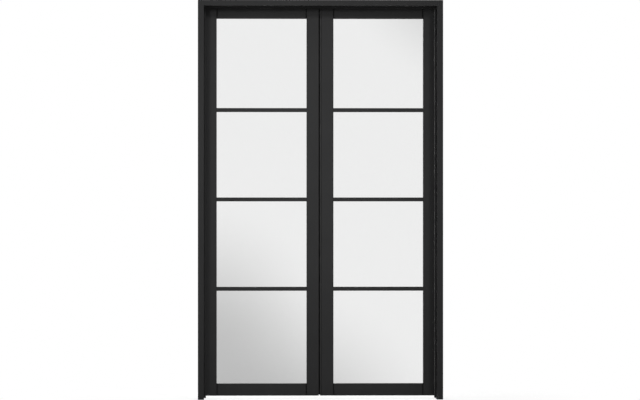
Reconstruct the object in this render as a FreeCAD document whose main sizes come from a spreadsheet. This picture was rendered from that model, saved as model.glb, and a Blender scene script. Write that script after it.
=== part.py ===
import FreeCAD
import Part
import os

import Sketcher

# A framed pair of glazed leaves that divides a room. Millimetres, X to the right, Y away from the viewer,
# Z up, with the origin on the floor at the middle of the whole object. The leaves swing away from the viewer.

Vector = FreeCAD.Vector
SIDES = {"left": -1, "right": 1}
BARS = ("lower", "middle", "upper")
PANE_COUNT = len(BARS) + 1
HINGE_COUNT = 3
KNUCKLE_COUNT = 5
HINGE_SCREW_COUNT = 4
CORNER_SCREW_COUNT = 3
STOP_PIN_COUNT = 5
HEAD_PIN_COUNT = 4
STRIP_SCREW_COUNT = 6

# Every size that can be set by itself. The first word of a name says which piece it belongs to.
SIZES = {
    # lining frame
    "frame_width": 1246,
    "frame_height": 2031,
    "frame_depth": 133,
    "lining": 31,
    "head_housing": 8,
    "arris": 1.5,
    # planted stops that the leaves close against
    "stop_thickness": 10,
    "stop_width": 32,
    "stop_gap": 1,
    "stop_foot": 6,
    "stop_pin_radius": 0.8,
    "stop_pin_length": 25,
    "stop_pin_point": 2.4,
    "stop_pin_inset": 140,
    # narrow groove beside the seat of a planted strip
    "quirk_width": 1.2,
    "quirk_depth": 4,
    # gaps around the leaves
    "head_gap": 3,
    "floor_gap": 16,
    "jamb_gap": 3,
    "meeting_gap": 6,
    # leaf framing
    "leaf_thickness": 35,
    "stile_width": 62,
    "top_rail_width": 58,
    "bottom_rail_width": 62,
    "joint_groove": 4,
    "joint_groove_depth": 10,
    "dowel_radius": 5,
    "dowel_length": 60,
    "dowel_spacing": 24,
    "dowel_clearance": 0.1,
    # glazing bars
    "bar_width": 20,
    "bar_arris": 1,
    "lower_bar_height": 545,
    "bar_pitch": 456,
    "tenon_length": 8,
    "tenon_width": 12,
    # glazing
    "front_land": 14,
    "glass_cover": 7,
    "glass_edge_gap": 2,
    "glass_thickness": 4,
    "tape_thickness": 1,
    "tape_width": 4,
    "bead_arris": 1,
    "mitre_gap": 0.2,
    "setting_block_length": 30,
    "setting_block_inset": 90,
    # meeting strip with its brush seal, on the right leaf
    "strip_width": 7,
    "strip_arris": 0.6,
    "strip_screw_length": 35,
    "strip_screw_inset": 140,
    "strip_screw_setback": 11,
    "brush_inset": 14,
    "brush_width": 5,
    "brush_groove": 4,
    "brush_tip_gap": 0.4,
    "brush_end_gap": 5,
    # butt hinges, three to a leaf
    "hinge_height": 76,
    "hinge_plate_width": 24,
    "hinge_plate_thickness": 2,
    "knuckle_radius": 5,
    "knuckle_gap": 0.3,
    "knuckle_clearance": 0.4,
    "hinge_axis_offset": 5.5,
    "hinge_pin_radius": 3,
    "hinge_pin_tip_radius": 4.2,
    "hinge_pin_tip_height": 2.4,
    "running_clearance": 0.05,
    "top_hinge_drop": 150,
    "bottom_hinge_rise": 225,
    "hinge_screw_length": 25,
    "hinge_screw_setback": 5,
    "hinge_screw_stagger": 8,
    "hinge_screw_end": 11,
    # wood screws: shank, head and the cross recess
    "screw_radius": 1.75,
    "screw_head_radius": 3.4,
    "screw_point": 5,
    "screw_recess_width": 0.9,
    "screw_recess_reach": 2,
    "screw_recess_depth": 1.2,
    "screw_clearance": 0.05,
    # screws that hold the head between the jambs
    "corner_screw_radius": 2.25,
    "corner_screw_head_radius": 4.4,
    "corner_screw_length": 60,
    "corner_screw_inset": 25,
    # holes for fixing the jambs to a wall
    "fixing_radius": 2.75,
    "fixing_head_radius": 5.5,
    "fixing_inset": 18,
    "fixing_spacing": 28,
    "fixing_height": 300,
    "fixing_rise": 1400,
    # ball catches in the tops of the leaves
    "catch_inset": 120,
    "catch_radius": 7,
    "catch_length": 30,
    "catch_floor": 1.5,
    "catch_lip": 0.3,
    "ball_radius": 5.5,
    "ball_reach": 4,
    "ball_retention": 0.05,
    "ball_clearance": 0.1,
    "spring_radius": 3.4,
    "spring_wire_radius": 0.5,
    "spring_pitch": 2.8,
    "spring_seat_gap": 0.2,
    "strike_length": 45,
    "strike_width": 16,
    "strike_thickness": 2,
    "strike_hole_radius": 4.5,
    "strike_pocket_depth": 8,
    "strike_screw_radius": 1.5,
    "strike_screw_head_radius": 3,
    "strike_screw_length": 16,
    "strike_screw_spacing": 32,
}

# Places worked out from the sizes. X places are distances from the middle, the same on both sides.
PLACES = {
    "near_y": "-(sizes.frame_depth + sizes.hinge_axis_offset + sizes.knuckle_radius) / 2",
    "far_y": "near_y + sizes.frame_depth",
    "leaf_y": "far_y - sizes.leaf_thickness",
    "land_y": "leaf_y + sizes.front_land",
    "glass_y": "land_y + sizes.tape_thickness",
    "glass_back_y": "glass_y + sizes.glass_thickness",
    "bead_y": "glass_back_y + sizes.tape_thickness",
    "stop_back_y": "leaf_y - sizes.stop_gap",
    "stop_y": "stop_back_y - sizes.stop_width",
    "stop_pin_y": "stop_y + sizes.stop_width / 2",
    "hinge_y": "far_y + sizes.hinge_axis_offset",
    "hinge_plate_y": "hinge_y - sizes.hinge_plate_width",
    "catch_y": "leaf_y + sizes.leaf_thickness / 2",
    "dowel_y": "(land_y + far_y) / 2",
    "outer_x": "sizes.frame_width / 2",
    "jamb_x": "outer_x - sizes.lining",
    "housing_x": "jamb_x + sizes.head_housing",
    "stop_x": "jamb_x - sizes.stop_thickness",
    "leaf_x": "jamb_x - sizes.jamb_gap",
    "hinge_x": "jamb_x - sizes.jamb_gap / 2",
    "meeting_x": "(sizes.meeting_gap + sizes.strip_width) / 2",
    "strip_x": "sizes.strip_width - meeting_x",
    "hinge_sight_x": "leaf_x - sizes.stile_width",
    "hinge_rebate_x": "hinge_sight_x + sizes.glass_cover",
    "meeting_sight_x": "meeting_x + sizes.stile_width",
    "meeting_rebate_x": "meeting_sight_x - sizes.glass_cover",
    "catch_x": "meeting_x + sizes.catch_inset",
    "head_z": "sizes.frame_height - sizes.lining",
    "stop_top_z": "head_z - sizes.stop_thickness",
    "leaf_top_z": "head_z - sizes.head_gap",
    "leaf_foot_z": "sizes.floor_gap",
    "leaf_height": "leaf_top_z - leaf_foot_z",
    "top_sight_z": "leaf_top_z - sizes.top_rail_width",
    "foot_sight_z": "leaf_foot_z + sizes.bottom_rail_width",
    "lower_bar_z": "leaf_foot_z + sizes.lower_bar_height",
    "middle_bar_z": "lower_bar_z + sizes.bar_pitch",
    "upper_bar_z": "middle_bar_z + sizes.bar_pitch",
    "hinge_foot_z": "leaf_foot_z + sizes.bottom_hinge_rise",
    "hinge_run": "leaf_top_z - sizes.top_hinge_drop - sizes.hinge_height - hinge_foot_z",
    "hinge_step": f"hinge_run / {HINGE_COUNT - 1}",
    "knuckle_height": f"sizes.hinge_height / {KNUCKLE_COUNT}",
    "hinge_screw_run": "sizes.hinge_height - 2 * sizes.hinge_screw_end",
    "hinge_screw_step": f"hinge_screw_run / {HINGE_SCREW_COUNT - 1}",
    "corner_screw_run": "sizes.frame_depth - 2 * sizes.corner_screw_inset",
    "corner_screw_step": f"corner_screw_run / {CORNER_SCREW_COUNT - 1}",
    "stop_pin_run": "stop_top_z - sizes.stop_foot - 2 * sizes.stop_pin_inset",
    "stop_pin_step": f"stop_pin_run / {STOP_PIN_COUNT - 1}",
    "head_pin_run": "2 * (stop_x - sizes.stop_pin_inset)",
    "head_pin_step": f"head_pin_run / {HEAD_PIN_COUNT - 1}",
    "strip_screw_run": "leaf_height - 2 * sizes.strip_screw_inset",
    "strip_screw_step": f"strip_screw_run / {STRIP_SCREW_COUNT - 1}",
    "strip_screw_y": "far_y - sizes.strip_screw_setback",
    "ball_drop": "sizes.ball_radius - sizes.ball_reach",
}

doc = FreeCAD.newDocument("room_divider")
sizes = doc.addObject("Spreadsheet::Sheet", "sizes")
for row, (name, size) in enumerate(SIZES.items(), start=1):
    sizes.set(f"A{row}", name)
    sizes.set(f"B{row}", str(size))
    sizes.setAlias(f"B{row}", name)
places = doc.addObject("Spreadsheet::Sheet", "places")
for row, (name, formula) in enumerate(PLACES.items(), start=1):
    places.set(f"A{row}", name)
    places.set(f"B{row}", "=" + formula)
    places.setAlias(f"B{row}", name)
doc.recompute()

nodes = []


def number(expression):
    """The present value of an expression in the two sheets."""
    return float(places.evalExpression(expression))


def at(side, expression):
    """An X place on one side of the middle."""
    return f"{SIDES[side]} * ({expression})"


def rectangle(u_start, u_end, v_start, v_end):
    """The corners of a rectangle, in order."""
    return [(u_start, v_start), (u_end, v_start), (u_end, v_end), (u_start, v_end)]


def keep(item, label):
    """Gives an object its label and puts it on the list of sub-parts."""
    item.Label = label
    nodes.append(item)
    return item


def new_body(label):
    """An empty body that is one of the sub-parts."""
    return keep(doc.addObject("PartDesign::Body", label), label)


def place(item, x, y, z):
    """Binds an object's place to three expressions."""
    for axis, expression in zip("xyz", (x, y, z)):
        item.setExpression(f"Placement.Base.{axis}", expression)


def hold(sketch, geometry, point, u, v):
    """Ties one point of a sketch to two expressions."""
    for kind, expression in (("DistanceX", u), ("DistanceY", v)):
        rule = Sketcher.Constraint(kind, -1, 1, geometry, point, number(expression))
        index = sketch.addConstraint(rule)
        sketch.setExpression(f"Constraints[{index}]", expression)


def sketch_on(body, role, level, outlines=(), circles=()):
    """A sketch parallel to an origin plane, with closed outlines and with circles given as (u, v, radius)."""
    sketch = body.newObject("Sketcher::SketchObject", body.Name + "_sketch")
    plane = next(item for item in body.Origin.OriginFeatures if item.Role == role)
    sketch.AttachmentSupport = [(plane, "")]
    sketch.MapMode = "FlatFace"
    facing = -1 if role == "XZ_Plane" else 1
    sketch.setExpression("AttachmentOffset.Base.z", f"{facing} * ({level})")
    for outline in outlines:
        first = sketch.GeometryCount
        count = len(outline)
        corners = [Vector(number(u), number(v), 0) for u, v in outline]
        for i in range(count):
            sketch.addGeometry(Part.LineSegment(corners[i], corners[(i + 1) % count]))
        for i in range(count):
            meet = Sketcher.Constraint("Coincident", first + i, 2, first + (i + 1) % count, 1)
            sketch.addConstraint(meet)
        for i, (u, v) in enumerate(outline):
            hold(sketch, first + i, 1, u, v)
    for u, v, radius in circles:
        middle = Vector(number(u), number(v), 0)
        ring = sketch.addGeometry(Part.Circle(middle, Vector(0, 0, 1), number(radius)))
        hold(sketch, ring, 3, u, v)
        index = sketch.addConstraint(Sketcher.Constraint("Radius", ring, number(radius)))
        sketch.setExpression(f"Constraints[{index}]", radius)
    return sketch


def pad(body, role, level, length, outlines=(), circles=()):
    """Adds material from a level towards the positive axis."""
    feature = body.newObject("PartDesign::Pad", body.Name + "_pad")
    feature.Profile = sketch_on(body, role, level, outlines, circles)
    feature.setExpression("Length", length)
    feature.Reversed = role == "XZ_Plane"
    doc.recompute()
    return feature


def check_cut(body, before):
    """Stops if a cut took nothing away."""
    doc.recompute()
    if body.Shape.Volume > before - 1e-6:
        raise RuntimeError(f"a cut missed {body.Label}")


def cut(body, role, level, length, toward, outlines=(), circles=()):
    """Takes material away from a level, towards the positive or the negative axis."""
    before = body.Shape.Volume
    feature = body.newObject("PartDesign::Pocket", body.Name + "_cut")
    feature.Profile = sketch_on(body, role, level, outlines, circles)
    feature.setExpression("Length", length)
    feature.Reversed = (toward > 0) != (role == "XZ_Plane")
    check_cut(body, before)
    return feature


def countersink(body, role, level, toward, centres, radius, head_radius):
    """Drills countersunk holes right through from a level."""
    before = body.Shape.Volume
    profile = sketch_on(body, role, level, circles=[(u, v, radius) for u, v in centres])
    doc.recompute()
    feature = body.newObject("PartDesign::Hole", body.Name + "_hole")
    feature.Profile = profile
    doc.recompute()
    feature.DepthType = "ThroughAll"
    feature.HoleCutType = "Countersink"
    feature.HoleCutCustomValues = True
    feature.HoleCutCountersinkAngle = 90
    feature.setExpression("Diameter", f"2 * ({radius})")
    feature.setExpression("HoleCutDiameter", f"2 * ({head_radius})")
    feature.Reversed = (toward > 0) != (role == "XZ_Plane")
    check_cut(body, before)
    return feature


def repeat(body, features, count, length):
    """Repeats cuts up the height of a body."""
    pattern = body.newObject("PartDesign::LinearPattern", body.Name + "_rows")
    pattern.Originals = features
    pattern.Direction = (features[0].Profile[0], ["V_Axis"])
    pattern.setExpression("Length", length)
    pattern.Occurrences = count
    body.Tip = pattern
    doc.recompute()


def repeat_whole(body, sketch, count, length):
    """Repeats a whole body up the height, as separate solids."""
    pattern = body.newObject("PartDesign::LinearPattern", body.Name + "_rows")
    pattern.TransformMode = "Whole shape"
    pattern.Direction = (sketch, ["V_Axis"])
    pattern.setExpression("Length", length)
    pattern.Occurrences = count
    body.Tip = pattern
    doc.recompute()


def edges_where(shape, wanted):
    """The names of the straight edges whose middle and direction pass a test."""
    names = []
    for index, edge in enumerate(shape.Edges, start=1):
        ends = [vertex.Point for vertex in edge.Vertexes]
        if len(ends) == 2 and wanted((ends[0] + ends[1]) / 2, (ends[1] - ends[0]).normalize()):
            names.append(f"Edge{index}")
    return names


def near(a, b):
    """Whether two measures agree."""
    return abs(a - b) < 1e-4


def ease(body, radius, wanted):
    """Rounds chosen edges of a body."""
    base = body.Tip
    feature = body.newObject("PartDesign::Fillet", body.Name + "_eased")
    feature.Base = (base, edges_where(base.Shape, wanted))
    feature.setExpression("Radius", radius)
    doc.recompute()


def revolve(body, profile):
    """Turns an outline in X and Z around the body's own Z axis."""
    feature = body.newObject("PartDesign::Revolution", body.Name + "_turned")
    sketch = sketch_on(body, "XZ_Plane", "0", [profile])
    feature.Profile = sketch
    feature.ReferenceAxis = (sketch, ["V_Axis"])
    doc.recompute()
    return sketch


def screw(name, radius, head_radius, length):
    """A countersunk wood screw with a cross recess, its head at the origin and its point down."""
    body = doc.addObject("PartDesign::Body", name)
    revolve(
        body,
        [
            ("0", "0"),
            (head_radius, "0"),
            (radius, f"{radius} - {head_radius}"),
            (radius, f"sizes.screw_point - {length}"),
            ("0", f"-{length}"),
        ],
    )
    half = "sizes.screw_recess_width / 2"
    reach = f"sizes.screw_recess_reach * {head_radius} / sizes.screw_head_radius"
    for u, v in ((reach, half), (half, reach)):
        slot = rectangle(f"-{u}", u, f"-{v}", v)
        cut(body, "XY_Plane", "0", "sizes.screw_recess_depth", -1, [slot])
    return body


UP = FreeCAD.Rotation(Vector(1, 0, 0), 180)
TO_LEFT = FreeCAD.Rotation(Vector(0, 1, 0), 90)
TO_RIGHT = FreeCAD.Rotation(Vector(0, 1, 0), -90)
OUTWARD = {"left": TO_LEFT, "right": TO_RIGHT}
INWARD = {"left": TO_RIGHT, "right": TO_LEFT}


def group(label, pattern, spots):
    """Copies of one fastener as separate solids of one sub-part. A spot is x, y, z and a direction."""
    copies = []
    for x, y, z, turn in spots:
        copy = doc.addObject("App::Link", label + "_copy")
        copy.LinkedObject = pattern
        copy.Placement = FreeCAD.Placement(Vector(), turn)
        place(copy, x, y, z)
        copies.append(copy)
    bundle = keep(doc.addObject("Part::Compound", label), label)
    bundle.Links = copies
    return bundle


# Rows of fasteners, each a list of expressions that the holes and the fasteners share.
hinge_screw_rows = []
for index in range(HINGE_SCREW_COUNT):
    setback = f"sizes.hinge_screw_setback + {index % 2} * sizes.hinge_screw_stagger"
    height = f"places.hinge_foot_z + sizes.hinge_screw_end + {index} * places.hinge_screw_step"
    hinge_screw_rows.append((f"places.far_y - ({setback})", height))
corner_screw_rows = []
for index in range(CORNER_SCREW_COUNT):
    across = f"places.near_y + sizes.corner_screw_inset + {index} * places.corner_screw_step"
    corner_screw_rows.append((across, "places.head_z + sizes.lining / 2"))
stop_pin_rows = []
for index in range(STOP_PIN_COUNT):
    height = f"sizes.stop_foot + sizes.stop_pin_inset + {index} * places.stop_pin_step"
    stop_pin_rows.append(("places.stop_pin_y", height))
head_pin_rows = []
for index in range(HEAD_PIN_COUNT):
    across = f"sizes.stop_pin_inset - places.stop_x + {index} * places.head_pin_step"
    head_pin_rows.append((across, "places.stop_pin_y"))
strip_screw_rows = []
for index in range(STRIP_SCREW_COUNT):
    height = f"places.leaf_foot_z + sizes.strip_screw_inset + {index} * places.strip_screw_step"
    strip_screw_rows.append(("places.strip_screw_y", height))
fixing_rows = []
for column in range(2):
    for row in range(2):
        across = f"places.near_y + sizes.fixing_inset + {column} * sizes.fixing_spacing"
        fixing_rows.append((across, f"sizes.fixing_height + {row} * sizes.fixing_rise"))

# Radii of holes, each a fastener's own size and its clearance.
SCREW_HOLE = "sizes.screw_radius + sizes.screw_clearance"
SCREW_SINK = "sizes.screw_head_radius + sizes.screw_clearance"
PIN_HOLE = "sizes.stop_pin_radius + sizes.screw_clearance"
DOWEL_HOLE = "sizes.dowel_radius + sizes.dowel_clearance"
GLASS_SPREAD = "sizes.glass_cover - sizes.glass_edge_gap"


def holes(rows, radius):
    """Circles of one radius on a row of places."""
    return [(u, v, radius) for u, v in rows]


def hinge_seats(body, face, toward):
    """Recesses for the hinge plates and pilot holes for their screws, cut in from an upright face."""
    top = "places.hinge_foot_z + sizes.hinge_height"
    seat = rectangle("places.hinge_plate_y", "places.far_y", "places.hinge_foot_z", top)
    recess = cut(body, "YZ_Plane", face, "sizes.hinge_plate_thickness", toward, [seat])
    pilots = holes(hinge_screw_rows, SCREW_HOLE)
    drilled = cut(body, "YZ_Plane", face, "sizes.hinge_screw_length", toward, circles=pilots)
    repeat(body, [recess, drilled], HINGE_COUNT, "places.hinge_run")


def make_jamb(side):
    """An upright of the lining, with the head's housing, hinge seats and the wall fixing holes."""
    sign = SIDES[side]
    inner = at(side, "places.jamb_x")
    outer = at(side, "places.outer_x")
    body = new_body(f"{side}_jamb")
    plan = rectangle(inner, outer, "places.near_y", "places.far_y")
    pad(body, "XY_Plane", "0", "sizes.frame_height", [plan])
    ease(body, "sizes.arris", lambda middle, run: near(abs(run.z), 1))
    housing = rectangle(inner, at(side, "places.housing_x"), "places.near_y", "places.far_y")
    cut(body, "XY_Plane", "sizes.frame_height", "sizes.lining", -1, [housing])
    hinge_seats(body, inner, sign)
    countersink(body, "YZ_Plane", inner, sign, fixing_rows, "sizes.fixing_radius", "sizes.fixing_head_radius")
    countersink(
        body,
        "YZ_Plane",
        outer,
        -sign,
        corner_screw_rows,
        "sizes.corner_screw_radius + sizes.screw_clearance",
        "sizes.corner_screw_head_radius + sizes.screw_clearance",
    )
    depth = "sizes.stop_pin_length - sizes.stop_thickness"
    cut(body, "YZ_Plane", inner, depth, sign, circles=holes(stop_pin_rows, PIN_HOLE))


def make_head():
    """The top of the lining, housed into the jambs, with seats for the two strike plates."""
    body = new_body("head")
    front = rectangle("-places.housing_x", "places.housing_x", "places.head_z", "sizes.frame_height")
    pad(body, "XZ_Plane", "places.near_y", "sizes.frame_depth", [front])
    ease(body, "sizes.arris", lambda middle, run: near(abs(run.x), 1))
    pilots = holes(corner_screw_rows, "sizes.corner_screw_radius + sizes.screw_clearance")
    reach = "sizes.corner_screw_length - sizes.lining + sizes.head_housing"
    for side, sign in SIDES.items():
        cut(body, "YZ_Plane", at(side, "places.housing_x"), reach, -sign, circles=pilots)
        seat = strike_outline(side)
        cut(body, "XY_Plane", "places.head_z", "sizes.strike_thickness", 1, [seat])
        pocket = [(at(side, "places.catch_x"), "places.catch_y", "sizes.strike_hole_radius")]
        cut(body, "XY_Plane", "places.head_z", "sizes.strike_pocket_depth", 1, circles=pocket)
        screws = holes(strike_screw_spots(side), "sizes.strike_screw_radius + sizes.screw_clearance")
        cut(body, "XY_Plane", "places.head_z", "sizes.strike_screw_length", 1, circles=screws)
    depth = "sizes.stop_pin_length - sizes.stop_thickness"
    cut(body, "XY_Plane", "places.head_z", depth, 1, circles=holes(head_pin_rows, PIN_HOLE))


def planted_plan(side, face, seat, front, back):
    """The plan of an upright strip from its free face to its seat, with a quirk at the front beside the seat."""
    free = at(side, face)
    quirk = at(side, f"{seat} - sizes.quirk_width")
    fixed = at(side, seat)
    inner = f"{front} + sizes.quirk_depth"
    return [(free, front), (quirk, front), (quirk, inner), (fixed, inner), (fixed, back), (free, back)]


def ease_strip(body, face, front, radius):
    """Eases the upright edges of a planted strip along its free face and along its front."""
    free_x = number(face)
    front_y = number(front)

    def exposed(middle, run):
        return near(abs(run.z), 1) and (near(middle.x, free_x) or near(middle.y, front_y))

    ease(body, radius, exposed)


def make_side_stop(side):
    """The strip pinned to a jamb that the leaf closes against."""
    body = new_body(f"{side}_stop")
    face = at(side, "places.stop_x")
    plan = planted_plan(side, "places.stop_x", "places.jamb_x", "places.stop_y", "places.stop_back_y")
    pad(body, "XY_Plane", "sizes.stop_foot", "places.stop_top_z - sizes.stop_foot", [plan])
    ease_strip(body, face, "places.stop_y", "sizes.arris")
    pins = holes(stop_pin_rows, PIN_HOLE)
    cut(body, "YZ_Plane", face, "sizes.stop_thickness", SIDES[side], circles=pins)


def make_head_stop():
    """The strip pinned under the head."""
    body = new_body("head_stop")
    front = rectangle("-places.jamb_x", "places.jamb_x", "places.stop_top_z", "places.head_z")
    pad(body, "XZ_Plane", "places.stop_y", "sizes.stop_width", [front])
    exposed = number("places.stop_top_z")
    ease(body, "sizes.arris", lambda middle, run: near(abs(run.x), 1) and near(middle.z, exposed))
    pins = holes(head_pin_rows, PIN_HOLE)
    cut(body, "XY_Plane", "places.stop_top_z", "sizes.stop_thickness", 1, circles=pins)


def strike_outline(side):
    """The outline of a strike plate in plan."""
    x = at(side, "places.catch_x")
    y = "places.catch_y"
    length = "sizes.strike_length / 2"
    width = "sizes.strike_width / 2"
    return rectangle(f"{x} - {length}", f"{x} + {length}", f"{y} - {width}", f"{y} + {width}")


def strike_screw_spots(side):
    """The two screws of a strike plate."""
    x = at(side, "places.catch_x")
    return [(f"{x} + {way} * sizes.strike_screw_spacing / 2", "places.catch_y") for way in (-1, 1)]


def make_strike(side):
    """The plate in the head that the catch ball springs into."""
    body = new_body(f"{side}_catch_strike")
    pad(body, "XY_Plane", "places.head_z", "sizes.strike_thickness", [strike_outline(side)])
    hole = [(at(side, "places.catch_x"), "places.catch_y", "sizes.strike_hole_radius")]
    cut(body, "XY_Plane", "places.head_z", "sizes.strike_thickness", 1, circles=hole)
    countersink(
        body,
        "XY_Plane",
        "places.head_z",
        1,
        strike_screw_spots(side),
        "sizes.strike_screw_radius + sizes.screw_clearance",
        "sizes.strike_screw_head_radius + sizes.screw_clearance",
    )


def rail_dowel_rows(top):
    """The two dowels at one end of a rail."""
    if top:
        middle = "(places.top_sight_z + sizes.glass_cover + places.leaf_top_z) / 2"
    else:
        middle = "(places.foot_sight_z - sizes.glass_cover + places.leaf_foot_z) / 2"
    return [("places.dowel_y", f"{middle} + {way} * sizes.dowel_spacing / 2") for way in (-1, 1)]


def tenon_section(bar):
    """The section of the stub tenon at the end of a glazing bar."""
    y = "places.land_y + (sizes.leaf_thickness - sizes.front_land - sizes.tenon_width) / 2"
    half = "sizes.bar_width / 2 - sizes.glass_cover"
    z = f"places.{bar}_bar_z"
    return rectangle(y, f"{y} + sizes.tenon_width", f"{z} - ({half})", f"{z} + ({half})")


def make_stile(side, kind):
    """An upright of a leaf: a front land, and behind it a rebate for the glass."""
    edge = at(side, "places.leaf_x" if kind == "hinge" else "places.meeting_x")
    sight = at(side, f"places.{kind}_sight_x")
    rebate = at(side, f"places.{kind}_rebate_x")
    toward = SIDES[side] if kind == "hinge" else -SIDES[side]
    body = new_body(f"{side}_{kind}_stile")
    plan = [
        (edge, "places.leaf_y"),
        (sight, "places.leaf_y"),
        (sight, "places.land_y"),
        (rebate, "places.land_y"),
        (rebate, "places.far_y"),
        (edge, "places.far_y"),
    ]
    pad(body, "XY_Plane", "places.leaf_foot_z", "places.leaf_height", [plan])
    front = number("places.leaf_y")
    outside = number(edge)

    def exposed(middle, run):
        return near(abs(run.z), 1) and (near(middle.y, front) or near(middle.x, outside))

    ease(body, "sizes.arris", exposed)
    dowels = holes(rail_dowel_rows(True) + rail_dowel_rows(False), DOWEL_HOLE)
    cut(body, "YZ_Plane", rebate, "sizes.dowel_length / 2", toward, circles=dowels)
    mortises = [tenon_section(bar) for bar in BARS]
    cut(body, "YZ_Plane", rebate, "sizes.tenon_length", toward, mortises)
    if kind == "hinge":
        hinge_seats(body, edge, -toward)
    elif side == "right":
        reach = "sizes.strip_screw_length - sizes.strip_width"
        cut(body, "YZ_Plane", edge, reach, -toward, circles=holes(strip_screw_rows, SCREW_HOLE))


def make_rail(side, kind):
    """A rail of a leaf: a land grooved at its joints, and a longer shoulder behind that fills the rebates."""
    top = kind == "top"
    if top:
        land_z = "places.top_sight_z", "places.leaf_top_z"
        back_z = "places.top_sight_z + sizes.glass_cover", "places.leaf_top_z"
    else:
        land_z = "places.leaf_foot_z", "places.foot_sight_z"
        back_z = "places.leaf_foot_z", "places.foot_sight_z - sizes.glass_cover"
    sights = at(side, "places.meeting_sight_x"), at(side, "places.hinge_sight_x")
    rebates = at(side, "places.meeting_rebate_x"), at(side, "places.hinge_rebate_x")
    body = new_body(f"{side}_{kind}_rail")
    pad(body, "XZ_Plane", "places.leaf_y", "sizes.front_land", [rectangle(*sights, *land_z)])
    shoulders = (
        at(side, "places.meeting_sight_x + sizes.joint_groove"),
        at(side, "places.hinge_sight_x - sizes.joint_groove"),
    )
    grooves = [rectangle(sight, shoulder, *land_z) for sight, shoulder in zip(sights, shoulders)]
    cut(body, "XZ_Plane", "places.leaf_y", "sizes.joint_groove_depth", 1, grooves)
    front = number("places.leaf_y")
    sight_z = number(land_z[0] if top else land_z[1])

    def sight_edge(middle, run):
        return near(middle.y, front) and near(abs(run.x), 1) and near(middle.z, sight_z)

    ease(body, "sizes.arris", sight_edge)
    back = "sizes.leaf_thickness - sizes.front_land"
    pad(body, "XZ_Plane", "places.land_y", back, [rectangle(*rebates, *back_z)])
    dowels = holes(rail_dowel_rows(top), DOWEL_HOLE)
    cut(body, "YZ_Plane", rebates[0], "sizes.dowel_length / 2", SIDES[side], circles=dowels)
    cut(body, "YZ_Plane", rebates[1], "sizes.dowel_length / 2", -SIDES[side], circles=dowels)
    if top:
        bore = [(at(side, "places.catch_x"), "places.catch_y", "sizes.catch_radius + sizes.screw_clearance")]
        cut(body, "XY_Plane", "places.leaf_top_z", "sizes.catch_length", -1, circles=bore)


def make_bar(side, bar):
    """A glazing bar: a flat face, a thin web between the panes, and a stub tenon at each end."""
    z = f"places.{bar}_bar_z"
    half = "sizes.bar_width / 2"
    web = "sizes.bar_width / 2 - sizes.glass_cover"
    sights = at(side, "places.meeting_sight_x"), at(side, "places.hinge_sight_x")
    rebates = at(side, "places.meeting_rebate_x"), at(side, "places.hinge_rebate_x")
    body = new_body(f"{side}_{bar}_bar")
    face = rectangle(*sights, f"{z} - {half}", f"{z} + {half}")
    pad(body, "XZ_Plane", "places.leaf_y", "sizes.front_land", [face])
    front = number("places.leaf_y")
    ease(body, "sizes.bar_arris", lambda middle, run: near(middle.y, front) and near(abs(run.x), 1))
    back = "sizes.leaf_thickness - sizes.front_land"
    pad(body, "XZ_Plane", "places.land_y", back, [rectangle(*rebates, f"{z} - ({web})", f"{z} + ({web})")])
    start = at("left", "places.hinge_rebate_x + sizes.tenon_length")
    if side == "right":
        start = at("right", "places.meeting_rebate_x - sizes.tenon_length")
    length = "places.hinge_rebate_x - places.meeting_rebate_x + 2 * sizes.tenon_length"
    pad(body, "YZ_Plane", start, length, [tenon_section(bar)])


def pane_sight(index):
    """The lower and the upper sight line of a pane, counted from the floor."""
    half = "sizes.bar_width / 2"
    lines = ["places.foot_sight_z"]
    for bar in BARS:
        lines += [f"places.{bar}_bar_z - {half}", f"places.{bar}_bar_z + {half}"]
    lines.append("places.top_sight_z")
    return lines[2 * index], lines[2 * index + 1]


def pane_box(side, index, spread):
    """A rectangle in X and Z that stands out past a pane's sight lines."""
    low, high = pane_sight(index)
    return rectangle(
        at(side, f"places.meeting_sight_x - ({spread})"),
        at(side, f"places.hinge_sight_x + ({spread})"),
        f"{low} - ({spread})",
        f"{high} + ({spread})",
    )


def make_panes(side):
    """The sheets of glass of a leaf, counted from the top as they are read."""
    for index in range(PANE_COUNT):
        body = new_body(f"{side}_pane_{PANE_COUNT - index}")
        outline = pane_box(side, index, GLASS_SPREAD)
        pad(body, "XZ_Plane", "places.glass_y", "sizes.glass_thickness", [outline])


def make_tape(side):
    """Rings of glazing tape on both faces of every pane."""
    body = new_body(f"{side}_glazing_tape")
    rings = []
    for index in range(PANE_COUNT):
        rings.append(pane_box(side, index, GLASS_SPREAD))
        rings.append(pane_box(side, index, f"{GLASS_SPREAD} - sizes.tape_width"))
    for level in ("places.land_y", "places.glass_back_y"):
        pad(body, "XZ_Plane", level, "sizes.tape_thickness", rings)


def make_setting_blocks(side):
    """The two blocks that each pane stands on."""
    body = new_body(f"{side}_setting_blocks")
    blocks = []
    for index in range(PANE_COUNT):
        low = pane_sight(index)[0]
        for anchor, way in (("places.meeting_sight_x", 1), ("places.hinge_sight_x", -1)):
            start = f"{anchor} + {way} * sizes.setting_block_inset"
            end = f"{start} + {way} * sizes.setting_block_length"
            foot = f"{low} - sizes.glass_cover"
            blocks.append(rectangle(at(side, start), at(side, end), foot, f"{foot} + sizes.glass_edge_gap"))
    pad(body, "XZ_Plane", "places.glass_y", "sizes.glass_thickness", blocks)


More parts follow.
